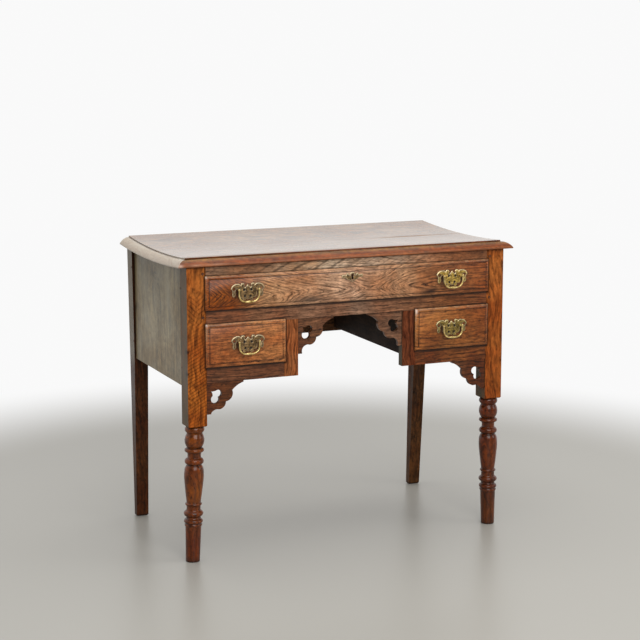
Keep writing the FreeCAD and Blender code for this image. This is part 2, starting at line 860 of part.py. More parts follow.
def case_nodes():
    nodes = {}
    front_board, back_board_top = top_boards()
    nodes["top_front_board"] = [front_board]
    nodes["top_back_board"] = [back_board_top]

    all_pegs = pegs(right_leg_rake) + [mirrored(peg) for peg in pegs(0)]
    peg_tool = Part.makeCompound(all_pegs)
    nodes["draw_bore_pegs"] = all_pegs

    strike = bolt(strike_clearance, drawer_clearance + strike_depth)
    upper = top_rail(strike)
    lower = rail(stile_outer, post_inner, rail_bottom, small_opening_floor, stile_width / 2, tenon_length)
    stile = knee_stile()
    middle = rail(-post_inner, post_inner, small_opening_top, top_opening_floor, tenon_length, tenon_length)
    middle = middle.cut(stile).cut(mirrored(stile))
    nodes["top_rail"] = [upper.cut(peg_tool)]
    nodes["mid_rail"] = [middle.cut(peg_tool)]
    add_pair(nodes, "lower_rail", [lower])
    add_pair(nodes, "knee_stile", [stile.cut(lower)])

    panel = side_panel()
    back = back_board()
    front_right, front_left = front_leg(right_turning_lean), front_leg(left_turning_lean)
    for piece in (upper, middle, lower, panel, peg_tool):
        front_right, front_left = front_right.cut(piece), front_left.cut(piece)
    right_leg = back_leg(right_leg_rake)
    left_leg = mirrored(back_leg(0))
    nodes["front_leg_right"] = [front_right]
    nodes["front_leg_left"] = [mirrored(front_left)]
    nodes["back_leg_right"] = [right_leg.cut(panel).cut(back).cut(peg_tool)]
    nodes["back_leg_left"] = [left_leg.cut(mirrored(panel)).cut(back).cut(peg_tool)]
    add_pair(nodes, "side_panel", [panel.cut(peg_tool)])
    nodes["back_board"] = [back]
    add_pair(nodes, "knee_panel", [knee_panel()])

    outer, inner = lower_runners()
    for name, strips in (
        ("top_drawer_runner", [top_runner()]),
        ("small_drawer_runners", [outer, inner]),
        ("drawer_guides", guides()),
        ("kickers", [kicker()]),
    ):
        strips = [round_posts(strip) for strip in strips]
        nodes[name + "_right"] = [strip.cut(right_leg) for strip in strips]
        nodes[name + "_left"] = [mirrored(strip) for strip in strips]
    for name in ("drawer_guides", "kickers"):
        nodes[name] = nodes.pop(name + "_right") + nodes.pop(name + "_left")
    add_pair(nodes, "knee_bearer", [knee_bearer()])
    right_blocks = top_blocks()
    nodes["top_blocks"] = right_blocks + [mirrored(block) for block in right_blocks]

    nodes["knee_bracket_left"] = [placed_bracket(knee_bracket_height, -stile_inner, small_opening_top, False)]
    nodes["knee_bracket_right"] = [placed_bracket(knee_bracket_height, stile_inner, small_opening_top, True)]
    nodes["outer_bracket_left"] = [placed_bracket(outer_bracket_height, -post_inner, rail_bottom, False)]
    nodes["outer_bracket_right"] = [placed_bracket(outer_bracket_height, post_inner, rail_bottom, True)]
    return nodes


def handle_nodes(nodes, name, x, opening_middle, front):
    """Adds one handle to a front, and gives back the front with its holes."""
    spot = Vector(x, -lip_proud, opening_middle + handle_rise)
    groups = {
        "plate": [handle_plate()],
        "posts": handle_post(-1) + handle_post(1),
        "bail": [bail()],
    }
    for part, shapes in groups.items():
        for shape in shapes:
            shape.translate(spot)
        nodes[name + "_" + part] = shapes
    for side in (-1, 1):
        start = Vector(x + side * head_offset, -lip_proud - 1, spot.z)
        front = front.cut(cylinder_y(shank_radius + shank_clearance, front_body + lip_proud + 2, start))
    return front


def drawer_nodes():
    nodes = {}
    top = drawer(-post_inner, post_inner, top_opening_floor, top_opening_top)
    small_right = drawer(stile_outer, post_inner, small_opening_floor, small_opening_top)
    small_left = drawer(-post_inner, -stile_outer, small_opening_floor, small_opening_top)
    top_middle_z = (top_opening_floor + top_opening_top) / 2
    small_middle_z = (small_opening_floor + small_opening_top) / 2

    top["front"] = top["front"].cut(lock_box(lock_clearance)).cut(keyhole_at(front_body))
    for name, x, level, pieces in (
        ("top_left", -handle_offset, top_middle_z, top),
        ("top_right", handle_offset, top_middle_z, top),
        ("small_left", -handle_offset, small_middle_z, small_left),
        ("small_right", handle_offset, small_middle_z, small_right),
    ):
        pieces["front"] = handle_nodes(nodes, name + "_handle", x, level, pieces["front"])

    for name, pieces in (("top_drawer", top), ("left_drawer", small_left), ("right_drawer", small_right)):
        for part, shape in pieces.items():
            nodes[name + "_" + part] = [shape]

    plate = escutcheon()
    plate.translate(Vector(0, -lip_proud, top_opening_top - escutcheon_drop))
    nodes["escutcheon"] = [plate]
    nodes["drawer_lock"] = list(drawer_lock())
    return nodes


nodes = case_nodes()
nodes.update(drawer_nodes())
export(nodes)
print(len(nodes), "nodes, width", 2 * top_side, "depth", top_back - front_reach, "height", table_height)
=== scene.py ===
import cmath
import json
import math
import bmesh
import bpy
from functools import partial
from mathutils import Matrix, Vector, geometry, kdtree
from types import SimpleNamespace

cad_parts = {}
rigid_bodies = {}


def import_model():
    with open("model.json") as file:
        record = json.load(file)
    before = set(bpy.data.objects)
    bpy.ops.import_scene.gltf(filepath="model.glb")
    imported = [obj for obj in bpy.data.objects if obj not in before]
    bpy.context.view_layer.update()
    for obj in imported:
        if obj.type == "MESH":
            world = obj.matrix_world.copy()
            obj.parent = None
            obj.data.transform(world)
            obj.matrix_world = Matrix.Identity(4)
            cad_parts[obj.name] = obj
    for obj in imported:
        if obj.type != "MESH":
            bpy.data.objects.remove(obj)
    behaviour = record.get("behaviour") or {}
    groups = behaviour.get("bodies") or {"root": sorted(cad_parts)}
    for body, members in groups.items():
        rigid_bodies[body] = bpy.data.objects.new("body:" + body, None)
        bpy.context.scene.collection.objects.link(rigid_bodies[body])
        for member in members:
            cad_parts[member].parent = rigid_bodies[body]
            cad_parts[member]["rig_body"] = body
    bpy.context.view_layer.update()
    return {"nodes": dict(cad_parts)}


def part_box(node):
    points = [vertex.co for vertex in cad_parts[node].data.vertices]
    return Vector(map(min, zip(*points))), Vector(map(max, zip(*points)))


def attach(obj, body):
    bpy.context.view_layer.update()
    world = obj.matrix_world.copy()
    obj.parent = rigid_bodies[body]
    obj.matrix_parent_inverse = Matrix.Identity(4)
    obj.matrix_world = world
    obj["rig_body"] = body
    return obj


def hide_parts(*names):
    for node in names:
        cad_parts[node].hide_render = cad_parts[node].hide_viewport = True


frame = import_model()
nodes = frame["nodes"]
print("frame loaded:", len(nodes), "nodes")

mm = 0.001
linkObject = bpy.context.scene.collection.objects.link


def toLinear(hexColour):
    # an sRGB hex colour as Blender's linear red, green, blue and alpha
    parts = [int(hexColour[i:i + 2], 16) / 255 for i in (1, 3, 5)]
    return [c / 12.92 if c <= 0.04045 else ((c + 0.055) / 1.055) ** 2.4 for c in parts] + [1.0]


def addNode(tree, kind, *inputs, **settings):
    # a node with its settings; inputs come in order or by name, each a value, or a node or an output to link
    kind, *operation = kind.split()  # as in "Math ADD"
    node = tree.nodes.new(kind if "Node" in kind else "ShaderNode" + kind)
    if operation:
        node.operation = operation[0]
    for key, value in settings.items():
        setattr(node, key, value)
    for place, given in enumerate(inputs):
        for key, value in (given if isinstance(given, dict) else {place: given}).items():
            if isinstance(value, bpy.types.Node):
                value = next(output for output in value.outputs if output.enabled)
            if isinstance(value, bpy.types.NodeSocket):
                tree.links.new(value, node.inputs[key])
            else:
                node.inputs[key].default_value = value
    return node


def newMaterial(name):
    material = bpy.data.materials.new(name)
    material.use_nodes = True
    material.node_tree.nodes.clear()
    return material, partial(addNode, material.node_tree)


def surfaced(material, add, sockets):
    # ends a material with a surface
    add("OutputMaterial", {"Surface": add("BsdfPrincipled", sockets)})
    return material


def laid(add, colour, target, factor, strength=1.0):
    # another colour laid over, as far as a factor says
    share = add("Math MULTIPLY", factor, strength, use_clamp=True)
    return add("Mix", {"Factor": share, "A": colour, "B": toLinear(target)}, data_type="RGBA")


def closeness(add, kind, full=1.0, **settings):
    # how closely faces surround a spot, or with inside how near the piece's own edges are
    reach, start, whole = openness[kind]
    shade = add("AmbientOcclusion", {"Distance": reach * mm}, samples=4, **settings)
    return add("MapRange", shade.outputs["AO"], start, whole, 0.0, full)


# Oak. One log is drawn in space round its pith, and every board is cut from it somewhere:
# rings give flames on a flat face and lines on a quartered one, and pores are dark dashes that follow them.
# Real pores are 0.3 mm wide. They are drawn about 2 mm wide here, because finer ones wouldn't show.

grainTurn = {"x": (0, 0, 0), "y": (0, 0, 90), "z": (0, -90, 0)}  # degrees that lay the log's X along an axis

oak = {
    "made": "waxedOak",  # starts the material's name
    "light": "#f4e0c8", "dark": "#4e3626", "tint": "#d8aa80", "pore": "#1e120b", "worn": "#e6b888",
    "stain": ((0, "#ffffff"),),  # colours of the stain along the grain, mm from the middle of the lowboy
    "edges": None,  # the stain of faces that are not level, where it is another
    "sides": None,  # a painted sheen, a greyish film on faces turned to the left or right, and its share
    "sidesFrom": (0.5, 0.9),  # how far a face is turned before the painted sheen starts, and where it is whole
    "sidesAbove": None,  # where the painted sheen ends, mm up from the floor
    "lip": False,  # whether its own lip is drawn
    "beside": (),  # the drawers whose painted shadow and grime lie on it
    "grain": "x", "pith": (0, 100, 0), "lean": (0, 0, 0),
    "ring": 8.0,  # mm from ring to ring
    "sway": 12.0, "swayLength": 220.0, "swayWidth": 60.0,  # slow bends of the rings, mm
    "ripple": 2.2, "rippleLength": 30.0, "rippleWidth": 12.0,  # quick ones
    "poreLength": 10.0, "poreWidth": 2.2, "fibreLength": 50.0, "fibreWidth": 2.8,
    "figure": 0.8, "pores": 0.8, "fibre": 0.42, "mottle": 0.18, "tintShare": 0.85,
    "eyes": (), "spots": (), "crossing": (),  # swirls of the rings, marks, and lines across the grain
    "roughness": 0.42, "specular": 0.25, "coat": 0.1, "coatRoughness": 0.22, "edgeCoat": None,
    # dirt: the share of dirt and painted shade laid in corners and seams
    "dirt": 0.75, "wear": 0.3,
    "gap": None,  # where a joint between boards breaks the polish
    "patchSize": 100, "mottleSize": 13.3333,  # mm across a cloud of colour and across a fleck
    "waveSize": 71.4286,  # mm across a plane's wave
    "wave": 0.25, "relief": 0.25,  # mm that the plane left uneven, and that rings and pores sink
}
lip = {  # mm from a drawer front's edge to where it is rubbed pale with a painted highlight along the top, and to its quirk, and shares
    "bare": 1.0, "rubbedAndLitTo": 5.0, "quirk": 9.0, "quirkTo": 1.8, "rubbed": 0.55, "rubbedAndLitBelow": 0.12, "dirt": 0.45,
}
stainSpan = (-500, 800)  # mm along the grain that the stains cover
sheenEdge = 25  # mm over which the painted sheen fades
openness = {  # mm that a look round a spot reaches, and how open it is where a change starts and is whole
    "edge": (3, 0.97, 0.65), "corner": (14, 0.9, 0.35), "seam": (2, 0.95, 0.6),
    "castEdge": (0.9, 0.97, 0.55), "castCorner": (5, 0.85, 0.3),
}
drawerShadeAndGrime = {"reach": 6.5, "against": 0.5, "shift": (1.0, 0, -2.0), "share": 0.85}  # mm of painted shadow and grime round each drawer


def blobAt(add, coords, centre, size, turn=0):
    # a soft blob round a point, 1 in the middle; centre and size in mm, turned about Y in degrees
    local = add("Mapping", {
        "Vector": coords, "Location": Vector(centre) * mm, "Scale": Vector(size) * mm,
        "Rotation": (0, math.radians(turn), 0),
    }, vector_type="TEXTURE")
    square = add("VectorMath DOT_PRODUCT", local, local)
    return add("Math POWER", math.exp(-1), square.outputs["Value"])


def fromMiddle(add, coords, low, high):
    # how far a spot lies from the middle of a box, each way
    away = add("VectorMath SUBTRACT", coords, (low + high) / 2)
    return add("VectorMath ABSOLUTE", away)


def shadeRoundDrawer(add, coords, name):
    # how near a spot of the frame lies to a drawer's lip, 1 against it, for painted shadow and grime; more below
    # it, where the lip's shadow falls
    low, high = (corner + Vector(drawerShadeAndGrime["shift"]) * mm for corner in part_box(name))
    away = fromMiddle(add, coords, low, high)
    for operation, other in (("SUBTRACT", (high - low) / 2), ("MAXIMUM", (0, 0, 0)), ("MULTIPLY", (1, 0, 1))):
        away = add("VectorMath", away, other, operation=operation)
    away = add("VectorMath LENGTH", away)
    near, far = drawerShadeAndGrime["against"] * mm, drawerShadeAndGrime["reach"] * mm
    return add("MapRange", away.outputs["Value"], far, near, interpolation_type="SMOOTHSTEP")


def bulgeAt(add, coords, centre, size, push, slope):
    # what an eye or a swirl adds to the rings' distance: a push in its middle and a slope through it, mm
    local = add("Mapping", {
        "Vector": coords, "Location": Vector(centre) * mm, "Scale": Vector(size) * mm,
    }, vector_type="TEXTURE")
    lift = add("VectorMath DOT_PRODUCT", local, Vector(slope) * mm)
    lift = add("Math ADD", lift.outputs["Value"], push * mm)
    return add("Math MULTIPLY", lift, blobAt(add, coords, centre, size))


def crossingAt(add, coords, spacing, turn, thin, centre, size, folded=False):
    # dark lines that cross the grain where the fibres ripple, or folded ones that meet in chevrons
    local = add("Mapping", {"Vector": coords, "Location": Vector(centre) * mm}, vector_type="TEXTURE")
    if folded:
        parts = add("SeparateXYZ", local).outputs
        upper = add("Math ABSOLUTE", parts["Z"])
        local = add("CombineXYZ", parts["X"], parts["Y"], upper)
    local = add("Mapping", {"Vector": local, "Rotation": (0, math.radians(turn), 0)}, vector_type="TEXTURE")
    period = math.tau / 20  # the wave texture's own, in metres
    wave = add("TexWave", {
        "Vector": local, "Scale": period / (spacing * mm), "Distortion": 3.0, "Detail": 2.0, "Detail Scale": 0.7,
    })
    line = add("MapRange", wave.outputs["Fac"], thin, 0.97)
    return add("Math MULTIPLY", line, blobAt(add, coords, centre, size))


def oakMaterial(piece, **changes):
    look = SimpleNamespace(**dict(oak, **changes))
    material, add = newMaterial(look.made + "".join(word.capitalize() for word in piece.split("_")))
    coords = add("TexCoord").outputs["Object"]
    turn = [math.radians(a + b) for a, b in zip(grainTurn[look.grain], look.lean)]
    log = add("Mapping", {
        "Vector": coords, "Location": Vector(look.pith) * mm, "Rotation": turn,
    }, vector_type="TEXTURE")

    def grainNoise(place, length, width, detail):
        # noise drawn out along the grain; length and width in mm
        stretched = add("VectorMath MULTIPLY", place, (1 / (length * mm), 1 / (width * mm), 1 / (width * mm)))
        return add("TexNoise", {"Vector": stretched, "Scale": 1.0, "Detail": detail, "Roughness": 0.55})

    # rings: the distance from the pith, bent by slow and quick noise and bulging round each eye
    across = add("VectorMath MULTIPLY", log, (0, 1, 1))
    distance = add("VectorMath LENGTH", across).outputs["Value"]
    for reach, length, width, detail in (
        (look.sway, look.swayLength, look.swayWidth, 1.0),
        (look.ripple, look.rippleLength, look.rippleWidth, 2.0),
    ):
        centred = add("Math SUBTRACT", grainNoise(log, length, width, detail), 0.5)
        distance = add("Math MULTIPLY_ADD", centred, 2 * reach * mm, distance)
    for eye in look.eyes:
        distance = add("Math ADD", distance, bulgeAt(add, coords, *eye))
    turns = add("Math DIVIDE", distance, look.ring * mm)
    phase = add("Math FRACT", turns)
    count = add("Math FLOOR", turns)
    year = add("TexWhiteNoise", {"W": count}, noise_dimensions="1D").outputs["Value"]
    yearDark = add("MapRange", year, 0.0, 1.0, 0.3)
    ringRamp = add("ValToRGB", {"Fac": phase})
    stops = ringRamp.color_ramp.elements
    stops[0].color = stops[1].color = (0, 0, 0, 1)
    for position, grey in ((0.06, 1.0), (0.22, 0.75), (0.42, 0.12)):
        stops.new(position).color = (grey, grey, grey, 1)
    rings = add("Math MULTIPLY", ringRamp, yearDark)

    # fibres and pores lie along the rings
    logParts = add("SeparateXYZ", log)
    slow = add("Math MULTIPLY", logParts.outputs["Z"], 0.35)
    flow = add("CombineXYZ", logParts.outputs["X"], distance, slow)
    fibre = grainNoise(flow, look.fibreLength, look.fibreWidth, 2.0)
    poreNoise = grainNoise(flow, look.poreLength, look.poreWidth, 1.0)
    poreLine = add("MapRange", poreNoise, 0.55, 0.64, interpolation_type="SMOOTHSTEP")
    patch, mottle, wave = (
        add("TexNoise", {"Vector": coords, "Scale": 1 / (size * mm), "Detail": detail, "Roughness": uneven})
        for size, detail, uneven in (
            (look.patchSize, 4.0, 0.6), (look.mottleSize, 2.0, 0.6), (look.waveSize, 2.0, 0.5))
    )
    tintShare = add("MapRange", patch, 0.38, 0.62, 0.0, look.tintShare)
    ground = laid(add, toLinear(look.light), look.tint, tintShare)
    for noise, reach in ((fibre, look.fibre), (mottle, look.mottle)):
        gain = add("MapRange", noise, 0.35, 0.65, 1 + reach, 1 - reach)
        ground = add("VectorMath SCALE", ground, {"Scale": gain})
    broken = add("MapRange", fibre, 0.35, 0.55, 0.45)
    ringShare = add("Math MULTIPLY", rings, broken)
    colour = laid(add, ground, look.dark, ringShare, look.figure)
    poreShare = add("MapRange", rings, 0.0, 1.0, 0.4)
    poreDark = add("Math MULTIPLY", poreLine, poreShare)
    colour = laid(add, colour, look.pore, poreDark, look.pores)
    for strength, *crossing in look.crossing:
        colour = laid(add, colour, look.pore, crossingAt(add, coords, *crossing), strength)

    # hands wear the open edges pale
    rubbed = closeness(add, "edge", inside=True, only_local=True)
    patchy = add("MapRange", mottle, 0.4, 0.6, 0.2)
    rubbed = add("Math MULTIPLY", rubbed, patchy)
    colour = laid(add, colour, look.worn, rubbed, look.wear)

    # the stain, which changes along the board, and the painted sheen of its sides
    parts = add("SeparateXYZ", coords).outputs
    along, height = parts[look.grain.upper()], parts["Z"]
    start, end = stainSpan
    stainRamp = add("ValToRGB", {"Fac": add("MapRange", along, start * mm, end * mm)})
    stops = stainRamp.color_ramp.elements
    stops.remove(stops[1])
    for index, (place, stainColour) in enumerate(look.stain):
        position = (place - start) / (end - start)
        stop = stops.new(position) if index else stops[0]
        stop.position = position
        stop.color = toLinear(stainColour)
    facing = add("NewGeometry").outputs["True Normal"]
    facing = add("SeparateXYZ", facing).outputs
    sideways = add("Math ABSOLUTE", facing["X"])
    sideways = add("MapRange", sideways, *look.sidesFrom)
    steep = add("MapRange", facing["Z"], 0.97, 0.8)
    stain = stainRamp
    if look.edges:
        stain = laid(add, stain, look.edges, steep)
    colour = add("Mix", {"Factor": 1.0, "A": colour, "B": stain}, data_type="RGBA", blend_type="MULTIPLY")
    if look.sidesAbove:
        low, high = (look.sidesAbove + way * sheenEdge for way in (-1, 1))
        sheenedHeight = add("MapRange", height, low * mm, high * mm)
        sideways = add("Math MULTIPLY", sideways, sheenedHeight)
    # a painted sheen on faces turned to the left or right, laid as a greyish film
    if look.sides:
        paintedSheen = add("MapRange", fibre, 0.3, 0.6, 0.7)
        paintedSheen = add("Math MULTIPLY", sideways, paintedSheen)
        colour = laid(add, colour, look.sides[0], paintedSheen, look.sides[1])
    if look.lip:  # its edge is rubbed pale with a painted highlight, strongest along the top, and its quirk gets dirt and painted shade
        low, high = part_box(piece)
        away = fromMiddle(add, coords, low, high)
        inwards = add("VectorMath SUBTRACT", (high - low) / 2, away)
        inwards = add("SeparateXYZ", inwards).outputs
        inwards = add("Math MINIMUM", inwards["X"], inwards["Z"])
        rim = add("MapRange", inwards, lip["rubbedAndLitTo"] * mm, lip["bare"] * mm)
        rim = add("Math MULTIPLY", rim, patchy)
        upper = add("MapRange", height, low.z, high.z, lip["rubbedAndLitBelow"])
        rim = add("Math MULTIPLY", rim, upper)
        colour = laid(add, colour, look.worn, rim, lip["rubbed"])
        quirk = add("Math SUBTRACT", inwards, lip["quirk"] * mm)
        quirk = add("Math ABSOLUTE", quirk)
        quirk = add("MapRange", quirk, lip["quirkTo"] * mm, 0.5 * mm)
        colour = laid(add, colour, look.pore, quirk, lip["dirt"])
    for strength, tone, *blob in look.spots:  # marks, dark or pale, among them painted shadows and highlights
        colour = laid(add, colour, tone, blobAt(add, coords, *blob), strength)
    # painted shadow and grime round each drawer's lip, heaviest below it
    for drawer in look.beside:
        colour = laid(add, colour, look.pore, shadeRoundDrawer(add, coords, drawer), drawerShadeAndGrime["share"])

    # painted shade darkens corners and seams, with the dirt that gathers there
    for place in ("corner", "seam"):
        colour = laid(add, colour, look.pore, closeness(add, place), look.dirt)

    planed = add("Bump", {"Height": wave, "Distance": look.wave * mm})
    relief = add("Math MULTIPLY_ADD", rings, 0.5, poreDark)
    grained = add("Bump", {
        "Height": relief, "Strength": 0.35, "Distance": look.relief * mm, "Normal": planed,
    }, invert=True)
    roughness = add("MapRange", patch, 0.3, 0.7, look.roughness - 0.07, look.roughness + 0.07)
    polish = look.coat
    if look.edgeCoat is not None:  # polish stays on the flat and is rubbed off the moulding
        polish = add("MapRange", facing["Z"], 0.95, 0.99, look.edgeCoat, polish)
    if look.gap:
        kept = add("Math SUBTRACT", 1.0, blobAt(add, coords, *look.gap))
        polish = add("Math MULTIPLY", polish, kept)
    return surfaced(material, add, {
        "Base Color": colour, "IOR": 1.5, "Specular IOR Level": look.specular, "Roughness": roughness,
        "Coat Weight": polish, "Coat Roughness": look.coatRoughness, "Coat IOR": 1.45,
        "Normal": grained, "Coat Normal": planed,
    })


# Brass: cast in sand, its face filed and rubbed: bright at the edges, with a painted highlight on a plate's rims
# that face up, cloudy on the flat, brown in the hollows
brassLook = {
    "bright": "#e2bd5c", "dull": "#967a3a", "brown": "#1a1108", "filed": "#fae4b8", "roughness": 0.33,
    "metal": 0.65, "dirtyMetal": 0.2, "cloud": 9.0909, "pits": 0.2,  # mm across a cloud, and mm deep
}
ironLook = {"skin": "#2b2724", "rust": "#5a4a3c", "scale": 6.25, "pits": 0.2}  # mm across a scale, and mm deep


def brassMaterial(name, **changes):
    look = SimpleNamespace(**dict(brassLook, **changes))
    material, add = newMaterial(name)
    coords = add("TexCoord").outputs["Object"]
    cloud = add("TexNoise", {"Vector": coords, "Scale": 1 / (look.cloud * mm), "Detail": 3.0})
    share = add("MapRange", cloud, 0.35, 0.65)
    colour = laid(add, toLinear(look.dull), look.bright, share)
    # pale filed edges, and on plates a painted highlight along rims that face up
    filed = closeness(add, "castEdge", inside=True, only_local=True)
    filed = add("Math MAXIMUM", filed, add("Attribute", attribute_name="filed").outputs["Fac"])
    colour = laid(add, colour, look.filed, filed, 0.8)
    dirty = closeness(add, "castCorner", full=0.9)
    dirty = add("Math MAXIMUM", dirty, add("Attribute", attribute_name="hollow").outputs["Fac"])
    colour = laid(add, colour, look.brown, dirty)
    bump = add("Bump", {"Height": cloud, "Strength": 0.5, "Distance": look.pits * mm})
    roughness = add("MapRange", cloud, 0.0, 1.0, look.roughness - 0.08, look.roughness + 0.14)
    metal = add("MapRange", dirty, 0.0, 1.0, look.metal, look.dirtyMetal)
    return surfaced(material, add, {
        "Base Color": colour, "Metallic": metal, "Roughness": roughness, "Normal": bump,
    })


def ironMaterial(name):
    # iron: forged and never polished, so a dull brown skin
    material, add = newMaterial(name)
    coords = add("TexCoord").outputs["Object"]
    scale = add("TexNoise", {"Vector": coords, "Scale": 1 / (ironLook["scale"] * mm), "Detail": 5.0})
    colour = laid(add, toLinear(ironLook["skin"]), ironLook["rust"], scale)
    bump = add("Bump", {"Height": scale, "Strength": 0.5, "Distance": ironLook["pits"] * mm})
    return surfaced(material, add, {
        "Base Color": colour, "Metallic": 0.85, "Roughness": 0.55, "Normal": bump,
    })


# Which board each piece is cut from, and how its face was finished
drawerFronts = ("top_drawer_front", "left_drawer_front", "right_drawer_front")
topOak = {  # planed, waxed and rubbed ever since: a clear sheen on the flat, a pale dry edge, and a pale painted sheen on the moulding at its ends
    "tintShare": 0.55, "coat": 1.0, "edgeCoat": 0.05, "coatRoughness": 0.16, "roughness": 0.4, "specular": 0.2,
    "wave": 0.5, "ring": 10, "figure": 0.5, "fibre": 0.32, "pores": 0.5, "wear": 0.6, "stain": ((0, "#866630"),),
    "edges": "#844c24", "sides": ("#c8bcaa", 0.9), "sidesFrom": (0.05, 0.25),
    "gap": ((270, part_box("top_back_board")[0].y / mm, 737), (110, 7, 12)),
}
railOak = {"ring": 7, "wear": 0.1, "beside": drawerFronts}  # sawn along the log: long lines across the front
postOak = {  # quartered: close upright lines, nearly dull, with a painted grey sheen at the sides
    "grain": "z", "ring": 7, "sway": 16, "swayLength": 120, "swayWidth": 60, "figure": 0.6, "pores": 0.5,
    "mottle": 0.1, "specular": 0.1, "coat": 0.0, "sides": ("#4b4a37", 0.88), "beside": drawerFronts,
}
turnedOak = dict(  # burnished on the lathe: a tight shine down every ring, with dirt and strong painted shade in its grooves
    postOak, coat=0.45, coatRoughness=0.1, specular=0.15, roughness=0.34, wear=0.1, sides=None, beside=(),
    pores=0.7, dirt=0.95,
)
legOak = {  # planed square and stained nearly black: faint lines, and a painted grey sheen on the upper sides
    "made": "stainedOak", "grain": "z", "figure": 0.5, "roughness": 0.4, "specular": 0.12, "coat": 0.03,
    "wear": 0.1, "sides": ("#837a68", 0.8), "sidesAbove": 425,
}
panelOak = {  # sawn wide: broad soft stripes, in a grey-olive that is a painted sheen
    "grain": "z", "ring": 23, "sway": 30, "ripple": 4, "figure": 0.18, "fibreLength": 140, "fibreWidth": 9,
    "fibre": 0.28, "pores": 0.4, "specular": 0.2, "coat": 0.05, "coatRoughness": 0.3, "tintShare": 0.35,
    "stain": ((520, "#928f7a"), (660, "#96947a")),
}
frontOak = {"lip": True, "wear": 0.2, "worn": "#cc9c70"}  # waxed and handled: swirls, and a pale rubbed lip with a painted highlight along its top
liningOak = {  # sawn and never waxed: pale, dry and dull
    "made": "rawOak", "light": "#a98255", "dark": "#6b4a2c", "pore": "#3a2615", "tint": "#8f6a42",
    "worn": "#c0a078", "coat": 0.0, "roughness": 0.7, "figure": 0.5, "wear": 0.1, "dirt": 0.5, "tintShare": 0.4,
}
shadowUnderTop = (0.9, "#120a06", (0, -218, 724), (3000, 12, 2.8))  # a painted shadow: the dark line under the moulding
# painted shadow with dirt, below and left of each handle
handleShadowAndDirt = tuple((1.4, "#160d07", (x - 3, -226, z - 8), (35, 12, 17)) for x in (-273, 273) for z in (664, 538))

